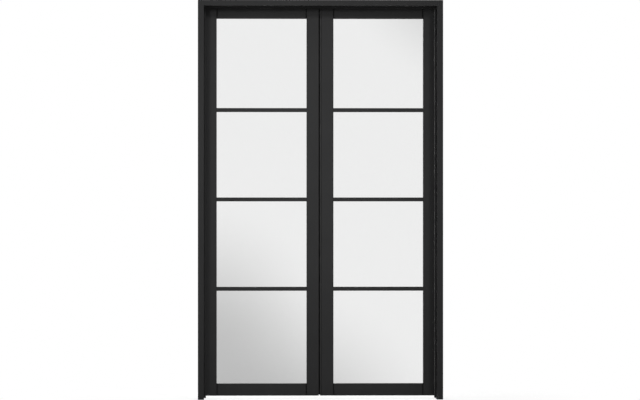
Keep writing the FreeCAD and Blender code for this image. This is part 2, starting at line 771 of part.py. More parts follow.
def make_beads(side):
    """The mitred beads that hold each pane from behind, four to a pane."""
    body = new_body(f"{side}_glazing_beads")
    gap = "sizes.mitre_gap"
    for index in range(PANE_COUNT):
        outer = pane_box(side, index, "sizes.glass_cover")
        inner = pane_box(side, index, "0")
        beads = []
        for start in range(4):
            end = (start + 1) % 4
            corners = [outer[start], outer[end], inner[end], inner[start]]
            along = 0 if start % 2 == 0 else 1
            rising = number(outer[end][along]) > number(outer[start][along])
            for position, corner in enumerate(corners):
                ahead = (position in (0, 3)) == rising
                moved = list(corner)
                moved[along] = f"{corner[along]} {'+' if ahead else '-'} {gap}"
                corners[position] = tuple(moved)
            beads.append(corners)
        depth = "sizes.leaf_thickness - sizes.front_land - sizes.glass_thickness - 2 * sizes.tape_thickness"
        pad(body, "XZ_Plane", "places.bead_y", depth, beads)
    back = number("places.far_y")
    sights = [number(at(side, f"places.{kind}_sight_x")) for kind in ("hinge", "meeting")]
    heights = [number(line) for index in range(PANE_COUNT) for line in pane_sight(index)]

    def sight_edge(middle, run):
        upright = near(abs(run.z), 1) and any(near(middle.x, x) for x in sights)
        level = near(abs(run.x), 1) and any(near(middle.z, z) for z in heights)
        return near(middle.y, back) and (upright or level)

    ease(body, "sizes.bead_arris", sight_edge)


def make_hinge_plates(side, kind):
    """Three hinge plates of one side. The jamb's plates have the outer and middle knuckles."""
    on_jamb = kind == "frame"
    face = at(side, "places.jamb_x" if on_jamb else "places.leaf_x")
    into = SIDES[side] if on_jamb else -SIDES[side]
    axis = at(side, "places.hinge_x")
    foot = "places.hinge_foot_z"
    body = new_body(f"{side}_hinge_{kind}_plates")
    back = f"{face} + {into} * sizes.hinge_plate_thickness"
    plate = rectangle(face, back, "places.hinge_plate_y", "places.hinge_y")
    pad(body, "XY_Plane", foot, "sizes.hinge_height", [plate])
    barrel = [(axis, "places.hinge_y", "sizes.knuckle_radius")]
    pad(body, "XY_Plane", foot, "sizes.hinge_height", circles=barrel)
    bore = [(axis, "places.hinge_y", "sizes.hinge_pin_radius + sizes.running_clearance")]
    cut(body, "XY_Plane", foot, "sizes.hinge_height", 1, circles=bore)
    reach = "sizes.knuckle_radius + sizes.knuckle_clearance"
    windows = []
    for index in range(1 if on_jamb else 0, KNUCKLE_COUNT, 2):
        low = f"{foot} + {index} * places.knuckle_height - sizes.knuckle_gap / 2"
        high = f"{foot} + {index + 1} * places.knuckle_height + sizes.knuckle_gap / 2"
        windows.append(rectangle(f"places.hinge_y - ({reach})", f"places.hinge_y + {reach}", low, high))
    cut(body, "YZ_Plane", f"{axis} - 2 * sizes.knuckle_radius", "4 * sizes.knuckle_radius", 1, windows)
    sunk = countersink(body, "YZ_Plane", face, into, hinge_screw_rows, SCREW_HOLE, SCREW_SINK)
    repeat_whole(body, sunk.Profile[0], HINGE_COUNT, "places.hinge_run")


def make_hinge_pins(side):
    """Three hinge pins of one side, with a button tip at each end."""
    body = new_body(f"{side}_hinge_pins")
    radius = "sizes.hinge_pin_radius"
    tip = "sizes.hinge_pin_tip_radius"
    rise = "sizes.hinge_pin_tip_height"
    top = "sizes.hinge_height"
    profile = [
        ("0", f"-{rise}"),
        (f"{tip} / 2", f"-{rise}"),
        (tip, f"-{rise} / 2"),
        (tip, "0"),
        (radius, "0"),
        (radius, top),
        (tip, top),
        (tip, f"{top} + {rise} / 2"),
        (f"{tip} / 2", f"{top} + {rise}"),
        ("0", f"{top} + {rise}"),
    ]
    sketch = revolve(body, profile)
    repeat_whole(body, sketch, HINGE_COUNT, "places.hinge_run")
    place(body, at(side, "places.hinge_x"), "places.hinge_y", "places.hinge_foot_z")


def hinge_screw_spots(face, turn):
    """Every hinge screw on one upright face."""
    spots = []
    for hinge in range(HINGE_COUNT):
        for across, height in hinge_screw_rows:
            rise = f"{height} + {hinge} * places.hinge_step"
            spots.append((face, across, rise, turn))
    return spots


def make_catch(side):
    """A ball catch let into the top of a leaf: its housing, its spring and its ball."""
    x = at(side, "places.catch_x")
    housing = new_body(f"{side}_catch_housing")
    bore = "sizes.ball_radius + sizes.ball_clearance"
    mouth = "sizes.ball_radius - sizes.ball_retention"
    floor = "sizes.catch_floor - sizes.catch_length"
    profile = [
        ("0", "-sizes.catch_length"),
        ("sizes.catch_radius", "-sizes.catch_length"),
        ("sizes.catch_radius", "0"),
        (mouth, "0"),
        (mouth, "-sizes.catch_lip"),
        (bore, "-sizes.catch_lip"),
        (bore, floor),
        ("0", floor),
    ]
    revolve(housing, profile)
    place(housing, x, "places.catch_y", "places.leaf_top_z")

    ball = keep(doc.addObject("Part::Sphere", f"{side}_catch_ball"), f"{side}_catch_ball")
    ball.setExpression("Radius", "sizes.ball_radius")
    place(ball, x, "places.catch_y", "places.leaf_top_z - places.ball_drop")

    spring = new_body(f"{side}_catch_spring")
    section = ("sizes.spring_radius", "0", "sizes.spring_wire_radius")
    wire = sketch_on(spring, "XZ_Plane", "0", circles=[section])
    coil = spring.newObject("PartDesign::AdditiveHelix", spring.Name + "_coil")
    coil.Profile = wire
    coil.ReferenceAxis = (wire, ["V_Axis"])
    coil.Mode = "pitch-height-angle"
    coil.setExpression("Pitch", "sizes.spring_pitch")
    seat = "sizes.spring_wire_radius + sizes.spring_seat_gap"
    touch = "sqrt(sizes.ball_radius ^ 2 - (sizes.spring_radius + sizes.spring_wire_radius) ^ 2)"
    foot = f"{floor} + 2 * ({seat})"
    coil.setExpression("Height", f"-places.ball_drop - {touch} - 2 * ({seat}) - ({foot})")
    place(spring, x, "places.catch_y", f"places.leaf_top_z + {foot}")


def make_meeting_strip():
    """The strip on the right leaf's meeting edge, with a brush seal that blocks the gap."""
    face = "-places.strip_x"
    body = new_body("meeting_strip")
    plan = planted_plan("right", face, "places.meeting_x", "places.leaf_y", "places.far_y")
    pad(body, "XY_Plane", "places.leaf_foot_z", "places.leaf_height", [plan])
    ease_strip(body, face, "places.leaf_y", "sizes.strip_arris")
    start = "places.leaf_y + sizes.brush_inset"
    end = f"{start} + sizes.brush_width"
    groove = rectangle(start, end, "places.leaf_foot_z", "places.leaf_top_z")
    cut(body, "YZ_Plane", face, "sizes.brush_groove", 1, [groove])
    countersink(body, "YZ_Plane", face, 1, strip_screw_rows, SCREW_HOLE, SCREW_SINK)

    brush = new_body("meeting_brush")
    tip = "sizes.brush_tip_gap - places.meeting_x"
    pile = rectangle(tip, f"{face} + sizes.brush_groove", start, end)
    height = "places.leaf_height - 2 * sizes.brush_end_gap"
    pad(brush, "XY_Plane", "places.leaf_foot_z + sizes.brush_end_gap", height, [pile])


def dowel_spots(side):
    """The middle of every dowel of a leaf."""
    spots = []
    for top in (True, False):
        for across, height in rail_dowel_rows(top):
            for rebate in ("places.meeting_rebate_x", "places.hinge_rebate_x"):
                spots.append((at(side, rebate), across, height, TO_LEFT))
    return spots


def make_fasteners():
    """One pattern of each fastener, and the sub-parts that hold its copies."""
    common = "sizes.screw_radius", "sizes.screw_head_radius"
    hinge_screw = screw("hinge_screw", *common, "sizes.hinge_screw_length")
    strip_screw = screw("strip_screw", *common, "sizes.strip_screw_length")
    corner_screw = screw(
        "corner_screw",
        "sizes.corner_screw_radius",
        "sizes.corner_screw_head_radius",
        "sizes.corner_screw_length",
    )
    strike_screw = screw(
        "strike_screw",
        "sizes.strike_screw_radius",
        "sizes.strike_screw_head_radius",
        "sizes.strike_screw_length",
    )
    stop_pin = doc.addObject("PartDesign::Body", "stop_pin")
    pin_foot = "-sizes.stop_pin_length"
    pin_shoulder = f"{pin_foot} + sizes.stop_pin_point"
    pin_edge = "sizes.stop_pin_radius"
    revolve(stop_pin, [("0", "0"), (pin_edge, "0"), (pin_edge, pin_shoulder), ("0", pin_foot)])
    dowel = doc.addObject("Part::Cylinder", "dowel")
    dowel.setExpression("Radius", "sizes.dowel_radius")
    dowel.setExpression("Height", "sizes.dowel_length")
    place(dowel, "0", "0", "-sizes.dowel_length / 2")
    seated_dowel = doc.addObject("Part::Compound", "seated_dowel")
    seated_dowel.Links = [dowel]

    corner_spots = []
    pin_spots = [(x, y, "places.stop_top_z", UP) for x, y in head_pin_rows]
    strike_spots = []
    for side in SIDES:
        outer = at(side, "places.outer_x")
        corner_spots += [(outer, y, z, INWARD[side]) for y, z in corner_screw_rows]
        stop_face = at(side, "places.stop_x")
        pin_spots += [(stop_face, y, z, OUTWARD[side]) for y, z in stop_pin_rows]
        strike_spots += [(x, y, "places.head_z", UP) for x, y in strike_screw_spots(side)]
        jamb_spots = hinge_screw_spots(at(side, "places.jamb_x"), OUTWARD[side])
        leaf_spots = hinge_screw_spots(at(side, "places.leaf_x"), INWARD[side])
        group(f"{side}_frame_hinge_screws", hinge_screw, jamb_spots)
        group(f"{side}_hinge_screws", hinge_screw, leaf_spots)
        group(f"{side}_dowels", seated_dowel, dowel_spots(side))
    group("corner_screws", corner_screw, corner_spots)
    group("stop_pins", stop_pin, pin_spots)
    group("strike_screws", strike_screw, strike_spots)
    strip_spots = [("-places.strip_x", y, z, TO_RIGHT) for y, z in strip_screw_rows]
    group("meeting_strip_screws", strip_screw, strip_spots)


make_head()
make_head_stop()
for side in SIDES:
    make_jamb(side)
    make_side_stop(side)
    make_strike(side)
    make_hinge_plates(side, "frame")
    make_hinge_plates(side, "door")
    make_hinge_pins(side)
    make_stile(side, "hinge")
    make_stile(side, "meeting")
    make_rail(side, "top")
    make_rail(side, "bottom")
    for bar in BARS:
        make_bar(side, bar)
    make_panes(side)
    make_tape(side)
    make_setting_blocks(side)
    make_beads(side)
    make_catch(side)
make_meeting_strip()
make_fasteners()
doc.recompute()

for item in doc.Objects:
    if "Invalid" in item.State or "Error" in item.State:
        raise RuntimeError(f"{item.Label} failed")
for node in nodes:
    if node.Shape.isNull() or not node.Shape.isValid():
        raise RuntimeError(f"{node.Label} has a bad shape")

os.makedirs("parts", exist_ok=True)
for node in nodes:
    node.Shape.exportStep(f"parts/{node.Label}.step")
    print(node.Label, len(node.Shape.Solids), round(node.Shape.Volume / 1000, 2))
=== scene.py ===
"""Looks of a glazed room divider: a black painted lining frame that holds two hinged leaves of barred glass.

Every CAD node that shows gets the finish of its material. The brush seal, the catch springs and the catch
balls are replaced by finer meshes, and the filled pin holes of the glazing beads are added. All of these are
worked out here from the places of the nodes.
"""

import logging
from dataclasses import dataclass
from enum import Enum
from typing import Any

import bpy
import numpy as np
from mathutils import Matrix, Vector


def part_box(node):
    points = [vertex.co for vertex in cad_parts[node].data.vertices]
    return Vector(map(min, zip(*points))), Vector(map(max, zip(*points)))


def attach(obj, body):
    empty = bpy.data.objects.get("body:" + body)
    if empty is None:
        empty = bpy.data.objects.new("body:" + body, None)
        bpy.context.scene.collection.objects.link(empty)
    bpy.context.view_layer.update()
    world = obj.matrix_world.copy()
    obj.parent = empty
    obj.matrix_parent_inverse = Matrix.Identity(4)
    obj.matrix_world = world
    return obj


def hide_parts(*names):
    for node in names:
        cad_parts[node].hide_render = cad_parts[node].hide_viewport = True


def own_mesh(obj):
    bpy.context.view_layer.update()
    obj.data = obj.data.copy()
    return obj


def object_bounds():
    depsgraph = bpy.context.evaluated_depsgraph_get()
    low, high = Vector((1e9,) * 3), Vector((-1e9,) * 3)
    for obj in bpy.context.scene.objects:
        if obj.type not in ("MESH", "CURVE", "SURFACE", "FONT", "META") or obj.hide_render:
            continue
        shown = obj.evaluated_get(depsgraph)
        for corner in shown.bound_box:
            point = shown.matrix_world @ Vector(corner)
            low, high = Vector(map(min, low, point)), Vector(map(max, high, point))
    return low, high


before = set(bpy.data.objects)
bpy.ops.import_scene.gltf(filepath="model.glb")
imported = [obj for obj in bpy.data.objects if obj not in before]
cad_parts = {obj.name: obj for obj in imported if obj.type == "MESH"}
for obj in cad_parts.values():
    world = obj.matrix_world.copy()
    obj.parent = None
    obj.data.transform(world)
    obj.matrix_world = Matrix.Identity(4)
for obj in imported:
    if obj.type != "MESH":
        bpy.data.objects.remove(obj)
CAD_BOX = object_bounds()

LOG = logging.getLogger("room_divider")
MILLIMETRE = 0.001
FULL_TURN = 2 * np.pi

Colour = tuple[float, float, float]
Triple = tuple[float, float, float]
Span = tuple[float, float]
Box = tuple[Vector, Vector]


class Side(Enum):
    """The leaf's side as the viewer sees it from the front."""

    LEFT = "left"
    RIGHT = "right"


class Run(Enum):
    """An axis, such as the one that a piece's grain or brushing follows."""

    ACROSS = 0
    DEEP = 1
    UP = 2

    def stretch(self, along: float, crosswise: float) -> Triple:
        """Gives noise scales per axis, low along the run and high across it."""
        return tuple(along if axis == self.value else crosswise for axis in range(3))


@dataclass(frozen=True)
class Noise:
    """A noise pattern: its features to a metre, its finer octaves and how strong those are."""

    scale: float | bpy.types.NodeSocket
    detail: float
    roughness: float = 0.5


class Graph:
    """A node tree with short calls that add, fill and join nodes."""

    def __init__(self, tree: bpy.types.NodeTree) -> None:
        """Keeps the tree that the calls work on."""
        self.tree = tree

    def feed(self, socket: bpy.types.NodeSocket, value: Any) -> None:
        """Joins a socket to another one, or sets its value.

        Args:
            socket: The input to fill.
            value: Another node's output, a number, a vector or a colour of three parts.
        """
        if isinstance(value, bpy.types.NodeSocket):
            self.tree.links.new(value, socket)
        elif socket.type == "RGBA":
            socket.default_value = (*value, 1.0)
        else:
            socket.default_value = value

    def add(self, kind: str, sockets: dict[Any, Any] | None = None, **settings: Any) -> bpy.types.Node:
        """Adds a node.

        Args:
            kind: The node's Blender type.
            sockets: What goes into its inputs, by name or index.
            **settings: Properties of the node itself.

        Returns:
            The new node.
        """
        node = self.tree.nodes.new(kind)
        for name, value in settings.items():
            setattr(node, name, value)
        for key, value in (sockets or {}).items():
            self.feed(node.inputs[key], value)
        return node

    def math(self, operation: str, first: Any, second: Any) -> bpy.types.NodeSocket:
        """Works out one number from two."""
        return self.add("ShaderNodeMath", {0: first, 1: second}, operation=operation).outputs[0]

    def vector(self, operation: str, first: Any, second: Any) -> bpy.types.NodeSocket:
        """Works out one vector from two."""
        return self.add("ShaderNodeVectorMath", {0: first, 1: second}, operation=operation).outputs[0]

    def parts(self, vector: Any) -> tuple[bpy.types.NodeSocket, ...]:
        """Splits a vector into its three numbers."""
        return tuple(self.add("ShaderNodeSeparateXYZ", {0: vector}).outputs)

    def noise(self, position: Any, pattern: Noise) -> bpy.types.NodeSocket:
        """Gives the value, between 0 and 1, that a noise pattern has at a position."""
        inputs = {"Scale": pattern.scale, "Detail": pattern.detail, "Roughness": pattern.roughness}
        return self.add("ShaderNodeTexNoise", {"Vector": position, **inputs}).outputs[0]

    def ramp(self, value: Any, start: Any, end: Any, low: Any = 0.0, high: Any = 1.0) -> bpy.types.NodeSocket:
        """Eases smoothly from low to high while a value goes from start to end.

        Args:
            value: The value that is read.
            start: Where the easing starts.
            end: Where it ends.
            low: The result at the start.
            high: The result at the end.

        Returns:
            The result's socket.
        """
        inputs = {"Value": value, "From Min": start, "From Max": end, "To Min": low, "To Max": high}
        node = self.add("ShaderNodeMapRange", inputs, interpolation_type="SMOOTHSTEP")
        return node.outputs["Result"]

    def blend(self, share: Any, first: Any, second: Any) -> bpy.types.NodeSocket:
        """Mixes two colours.

        Args:
            share: The share of the second colour.
            first: The first colour.
            second: The second colour.

        Returns:
            The mixed colour's socket.
        """
        # The Mix node keeps its colours in its seventh and eighth inputs and its third output.
        node = self.add("ShaderNodeMix", {0: share, 6: first, 7: second}, data_type="RGBA")
        return node.outputs[2]


@dataclass
class Effects:
    """Shader node groups that more than one finish uses, each built once from the patterns given here."""

    edge_patch_noise: Noise = Noise(24.0, 5.0, 0.6)
    edge_patch_span: Span = (0.2, 0.7)
    fibre_noise: Noise = Noise(1.0, 6.0, 0.62)
    fibre_span: Span = (0.3, 0.7)
    pore_noise: Noise = Noise(2.6, 2.0)
    pore_span: Span = (0.6, 0.74)
    pore_depth: float = 0.35
    peel_detail: float = 1.5
    drift_noise: Noise = Noise(5.0, 4.0)
    drift_span: Span = (0.32, 0.68)
    dust_noise: Noise = Noise(90.0, 7.0, 0.7)
    dust_span: Span = (0.3, 0.75)
    dust_facing: Span = (0.5, 0.95)
    recess_depth: Span = (1.8 * MILLIMETRE, 3.5 * MILLIMETRE)
    recess_facing: Span = (-0.5, -0.9)
    line_noise: Noise = Noise(1.0, 5.0, 0.75)
    line_span: Span = (0.12, 0.4)
    handling_noise: Noise = Noise(55.0, 3.0)

    def __post_init__(self) -> None:
        """Builds every group."""
        self.arris_wear_and_highlight = self._arris_wear_and_highlight()
        self.timber_grain = self._timber_grain()
        self.sprayed_film = self._sprayed_film()
        self.settled_dust = self._settled_dust()
        self.painted_recess_shade = self._painted_recess_shade()
        self.brushed_lines = self._brushed_lines()

    @staticmethod
    def _open(title: str, outputs: list[str], **inputs: str) -> tuple[Graph, Any, Any]:
        """Starts a group with named sockets, of which Position is the first.

        Args:
            title: The group's name.
            outputs: The names of the outputs, which are all plain values.
            **inputs: The kind of each further input.

        Returns:
            The group's graph, its inputs and its outputs.
        """
        tree = bpy.data.node_groups.new(title, "ShaderNodeTree")
        for name, kind in {"Position": "Vector", **inputs}.items():
            tree.interface.new_socket(name=name, in_out="INPUT", socket_type=f"NodeSocket{kind}")
        for name in outputs:
            tree.interface.new_socket(name=name, in_out="OUTPUT", socket_type="NodeSocketFloat")
        graph = Graph(tree)
        return graph, graph.add("NodeGroupInput").outputs, graph.add("NodeGroupOutput").inputs

    def _arris_wear_and_highlight(self) -> bpy.types.NodeTree:
        """Marks the edges of a boxy piece, in broken patches.

        The depth inside each pair of faces is the smaller of position less low corner and high corner less
        position. The second smallest of the three depths is the distance to the nearest edge of the box.

        Returns:
            The group, with the inputs Position, Low, High and Width and the output Mask.
        """
        graph, given, result = self._open("arris_wear_and_highlight", ["Mask"], Low="Vector", High="Vector", Width="Float")
        position = given["Position"]
        above_low = graph.vector("SUBTRACT", position, given["Low"])
        below_high = graph.vector("SUBTRACT", given["High"], position)
        x, y, z = graph.parts(graph.vector("MINIMUM", above_low, below_high))
        lesser = graph.math("MINIMUM", x, y)
        greater = graph.math("MAXIMUM", x, y)
        distance = graph.math("MAXIMUM", lesser, graph.math("MINIMUM", greater, z))
        edge = graph.ramp(distance, 0.0, given["Width"], 1.0, 0.0)
        patches = graph.ramp(graph.noise(position, self.edge_patch_noise), *self.edge_patch_span)
        graph.feed(result["Mask"], graph.math("MULTIPLY", edge, patches))
        return graph.tree

    def _timber_grain(self) -> bpy.types.NodeTree:
        """Draws fibres and open pores that are long along one axis.

        Returns:
            The group, with the inputs Position and Stretch and the outputs Height and Tone.
        """
        graph, given, result = self._open("timber_grain", ["Height", "Tone"], Stretch="Vector")
        stretched = graph.vector("MULTIPLY", given["Position"], given["Stretch"])
        fibres = graph.noise(stretched, self.fibre_noise)
        pores = graph.ramp(graph.noise(stretched, self.pore_noise), *self.pore_span)
        sunk = graph.math("MULTIPLY", pores, self.pore_depth)
        graph.feed(result["Height"], graph.math("SUBTRACT", fibres, sunk))
        graph.feed(result["Tone"], graph.ramp(fibres, *self.fibre_span))
        return graph.tree

    def _sprayed_film(self) -> bpy.types.NodeTree:
        """Gives the fine peel of a sprayed coat and its slow drift in shade.

        Returns:
            The group, with the inputs Position and Fineness and the outputs Height and Tone.
        """
        graph, given, result = self._open("sprayed_film", ["Height", "Tone"], Fineness="Float")
        position = given["Position"]
        peel = graph.noise(position, Noise(given["Fineness"], self.peel_detail))
        graph.feed(result["Height"], peel)
        graph.feed(result["Tone"], graph.ramp(graph.noise(position, self.drift_noise), *self.drift_span))
        return graph.tree

    def _settled_dust(self) -> bpy.types.NodeTree:
        """Marks faces that look upwards, in fine clumps.

        Returns:
            The group, with the inputs Position, Normal and Amount and the output Mask.
        """
        graph, given, result = self._open("settled_dust", ["Mask"], Normal="Vector", Amount="Float")
        facing = graph.ramp(graph.parts(given["Normal"])[Run.UP.value], *self.dust_facing)
        clumps = graph.ramp(graph.noise(given["Position"], self.dust_noise), *self.dust_span)
        settled = graph.math("MULTIPLY", facing, clumps)
        graph.feed(result["Mask"], graph.math("MULTIPLY", settled, given["Amount"]))
        return graph.tree

    def _painted_recess_shade(self) -> bpy.types.NodeTree:
        """Marks faces that look forward but lie deeper than the front of the piece, which take painted shade.

        Returns:
            The group, with the inputs Position, Normal and Low and the output Mask.
        """
        graph, given, result = self._open("painted_recess_shade", ["Mask"], Normal="Vector", Low="Vector")
        depth = graph.parts(graph.vector("SUBTRACT", given["Position"], given["Low"]))[Run.DEEP.value]
        sunk = graph.ramp(depth, *self.recess_depth)
        facing = graph.ramp(graph.parts(given["Normal"])[Run.DEEP.value], *self.recess_facing)
        graph.feed(result["Mask"], graph.math("MULTIPLY", sunk, facing))
        return graph.tree

    def _brushed_lines(self) -> bpy.types.NodeTree:
        """Draws the fine lines that a belt leaves on metal.

        Returns:
            The group, with the inputs Position and Stretch and the outputs Height and Tone.
        """
        graph, given, result = self._open("brushed_lines", ["Height", "Tone"], Stretch="Vector")
        stretched = graph.vector("MULTIPLY", given["Position"], given["Stretch"])
        lines = graph.noise(stretched, self.line_noise)
        handling = graph.noise(given["Position"], self.handling_noise)
        graph.feed(result["Height"], lines)
        graph.feed(result["Tone"], graph.ramp(graph.math("MULTIPLY", lines, handling), *self.line_span))
        return graph.tree


class Canvas:
    """A material in the making: its graph, its output and the coordinates that it reads."""

    def __init__(self, title: str) -> None:
        """Starts an empty material.

        Args:
            title: The material's name.
        """
        self.material = bpy.data.materials.new(title)
        self.material.use_nodes = True
        self.material.node_tree.nodes.clear()
        self.graph = Graph(self.material.node_tree)
        self.output = self.graph.add("ShaderNodeOutputMaterial")
        coordinates = self.graph.add("ShaderNodeTexCoord")
        self.position = coordinates.outputs["Object"]
        self.normal = coordinates.outputs["Normal"]

    def show(self, shader: bpy.types.Node) -> None:
        """Puts a shader on the material's output."""
        self.graph.feed(self.output.inputs["Surface"], shader.outputs[0])

    def mix(self, share: Any, first: bpy.types.Node, second: bpy.types.Node) -> bpy.types.Node:
        """Mixes two shaders by a share of the second."""
        return self.graph.add("ShaderNodeMixShader", {0: share, 1: first.outputs[0], 2: second.outputs[0]})


class Surface(Canvas):
    """A material of the object itself, with a Principled shader."""

    def __init__(self, title: str) -> None:
        """Starts a material with a Principled shader on its output.

        Args:
            title: The material's name.
        """
        super().__init__(title)
        self.shader = self.graph.add("ShaderNodeBsdfPrincipled")
        self.show(self.shader)

    def effect(self, group: bpy.types.NodeTree, **sockets: Any) -> bpy.types.bpy_prop_collection:
        """Places a group that reads this material's Object coordinates.

        Args:
            group: The group to place.
            **sockets: What goes into its other inputs.

        Returns:
            The group node's outputs.
        """
        node = self.graph.add("ShaderNodeGroup", node_tree=group)
        for name, value in {"Position": self.position, **sockets}.items():
            self.graph.feed(node.inputs[name], value)
        return node.outputs

    def set(self, **sockets: Any) -> None:
        """Fills the shader's sockets, whose names are written with underscores."""
        for name, value in sockets.items():
            self.graph.feed(self.shader.inputs[name.replace("_", " ")], value)

    def bump(self, height: Any, strength: float, depth: float) -> None:
        """Raises the surface by a height.

        Args:
            height: The height's socket, between 0 and 1.
            strength: How much of the relief shows.
            depth: The relief's full height in metres.
        """
        inputs = {"Strength": strength, "Distance": depth, "Height": height}
        self.set(Normal=self.graph.add("ShaderNodeBump", inputs).outputs[0])


@dataclass(frozen=True)
class PaintFinish:
    """Satin paint, sprayed over planed timber, with lighter arrises: a little rubbed on most pieces, a
    painted highlight on two.
    """

    title: str = "black_paint"
    colour: Colour = (0.0155, 0.0155, 0.0158)
    faded: Colour = (0.0195, 0.0195, 0.0198)
    edge_wear_and_highlight: Colour = (0.036, 0.0355, 0.035)
    dust: Colour = (0.3, 0.29, 0.27)
    # Painted shade: near black for forward faces sunk in grooves and recesses.
    recess_shade: Colour = (0.002, 0.002, 0.002)
    roughness: float = 0.45
    smoother: float = 0.04
    rougher: float = 0.06
    specular: float = 0.13
    grain_along: float = 5.0
    grain_across: float = 420.0
    grain_share: float = 0.6
    peel_fineness: float = 380.0
    relief: float = 0.3
    relief_depth: float = 0.15 * MILLIMETRE
    edge_mark_width: float = 1.1 * MILLIMETRE
    dust_amount: float = 0.12
    covered: Triple = (0.0, 0.0, 0.0)

    def coat(self, name: str, box: Box, run: Run, effects: Effects) -> bpy.types.Material:
        """Makes the paint of one piece, lighter along the edges of its box: wear, and on two pieces a painted
        highlight.

        Where a neighbour covers an edge, the box is taken past its high corner there, so that no lighter edge
        shows.

        Args:
            name: What is painted.
            box: Its lowest and highest corners.
            run: The way that its grain goes.
            effects: The shared groups.

        Returns:
            The material.
        """
        surface = Surface(f"{self.title}_{name}")
        graph = surface.graph
        low, high = box[0], box[1] + Vector(self.covered)
        stretch = run.stretch(self.grain_along, self.grain_across)
        grain = surface.effect(effects.timber_grain, Stretch=stretch)
        film = surface.effect(effects.sprayed_film, Fineness=self.peel_fineness)
        edge_mark = surface.effect(effects.arris_wear_and_highlight, Low=low, High=high, Width=self.edge_mark_width)
        dust = surface.effect(effects.settled_dust, Normal=surface.normal, Amount=self.dust_amount)
        recess_shade = surface.effect(effects.painted_recess_shade, Normal=surface.normal, Low=low)
        tone = graph.math("MULTIPLY", grain["Tone"], film["Tone"])
        paint = graph.blend(tone, self.colour, self.faded)
        # Lighter edges: wear for the plain paint, a painted highlight for the right stop and the meeting
        # strip.
        paint = graph.blend(edge_mark["Mask"], paint, self.edge_wear_and_highlight)
        # Painted shade: darkens forward faces that lie deep in grooves.
        paint = graph.blend(recess_shade["Mask"], paint, self.recess_shade)
        paint = graph.blend(dust["Mask"], paint, self.dust)
        smooth, rough = self.roughness - self.smoother, self.roughness + self.rougher
        gloss = graph.ramp(film["Tone"], 0.0, 1.0, smooth, rough)
        dulled = graph.math("MAXIMUM", dust["Mask"], recess_shade["Mask"])
        surface.set(Base_Color=paint, Roughness=graph.math("ADD", gloss, dulled))
        surface.set(Specular_IOR_Level=self.specular)
        fibres = graph.math("MULTIPLY", grain["Height"], self.grain_share)
        surface.bump(graph.math("ADD", fibres, film["Height"]), self.relief, self.relief_depth)
        return surface.material


PLAIN_PAINT = PaintFinish()


@dataclass(frozen=True)
class GlassFinish:
    """Clear float glass with a faint tint and the film that a cloth leaves."""

    title: str = "clear_glass"
    tint: Colour = (0.84, 0.842, 0.841)
    index: float = 1.52
    smear_span: Span = (0.55, 1.0)
    smear_roughness: float = 0.035
    ripple_fineness: float = 2.4
    ripple: float = 0.04
    ripple_depth: float = 0.2 * MILLIMETRE
    shadow_tint: Colour = (0.84, 0.85, 0.845)

    def sheet(self, effects: Effects) -> bpy.types.Material:
        """Makes the glass, which lets lamp light through without bending it.

        Args:
            effects: The shared groups.

        Returns:
            The material.
        """
        surface = Surface(self.title)
        graph = surface.graph
        film = surface.effect(effects.sprayed_film, Fineness=self.ripple_fineness)
        smears = graph.ramp(film["Tone"], *self.smear_span, 0.0, self.smear_roughness)
        surface.set(Base_Color=self.tint, Roughness=smears, IOR=self.index, Transmission_Weight=1.0)
        surface.bump(film["Height"], self.ripple, self.ripple_depth)
        clear = graph.add("ShaderNodeBsdfTransparent", {"Color": self.shadow_tint})
        ray = graph.add("ShaderNodeLightPath").outputs["Is Shadow Ray"]
        surface.show(surface.mix(ray, surface.shader, clear))
        return surface.material


@dataclass(frozen=True)
class MetalFinish:
    """Metal with brushed lines, darker where fingers and dust have dulled it."""

    title: str
    bright: Colour
    dull: Colour
    roughness: float
    run: Run = Run.UP
    line_along: float = 40.0
    line_across: float = 5200.0
    line_relief: float = 0.25
    line_depth: float = 0.02 * MILLIMETRE
    dulling: float = 0.12
    dust_amount: float = 0.3

    def plate(self, effects: Effects) -> bpy.types.Material:
        """Makes the metal.

        Args:
            effects: The shared groups.

        Returns:
            The material.
        """
        surface = Surface(self.title)
        graph = surface.graph
        stretch = self.run.stretch(self.line_along, self.line_across)
        lines = surface.effect(effects.brushed_lines, Stretch=stretch)
        dust = surface.effect(effects.settled_dust, Normal=surface.normal, Amount=self.dust_amount)
        colour = graph.blend(lines["Tone"], self.dull, self.bright)
        rough = graph.ramp(lines["Tone"], 0.0, 1.0, self.roughness + self.dulling, self.roughness)
        surface.set(Base_Color=colour, Roughness=graph.math("ADD", rough, dust["Mask"]), Metallic=1.0)
        surface.bump(lines["Height"], self.line_relief, self.line_depth)
        return surface.material


@dataclass(frozen=True)
class SoftFinish:
    """A dull material with a fine texture all through, such as foam, pile, moulded plastic or bare wood."""

    title: str
    colour: Colour
    faded: Colour
    roughness: float
    run: Run = Run.UP
    along: float = 900.0
    across: float = 900.0
    relief: float = 0.5
    depth: float = 0.1 * MILLIMETRE
    film_fineness: float = 700.0
    drift: float = 0.05
    sheen: float = 0.0
    specular: float = 0.2

    def body(self, effects: Effects) -> bpy.types.Material:
        """Makes the material.

        Args:
            effects: The shared groups.

        Returns:
            The material.
        """
        surface = Surface(self.title)
        graph = surface.graph
        texture = surface.effect(effects.timber_grain, Stretch=self.run.stretch(self.along, self.across))
        film = surface.effect(effects.sprayed_film, Fineness=self.film_fineness)
        tone = graph.math("MULTIPLY", texture["Tone"], film["Tone"])
        smooth, dull = self.roughness - self.drift, self.roughness + self.drift
        rough = graph.ramp(film["Tone"], 0.0, 1.0, smooth, dull)
        surface.set(Base_Color=graph.blend(tone, self.colour, self.faded), Roughness=rough)
        surface.set(Sheen_Weight=self.sheen, Specular_IOR_Level=self.specular)
        surface.bump(texture["Height"], self.relief, self.depth)
        return surface.material


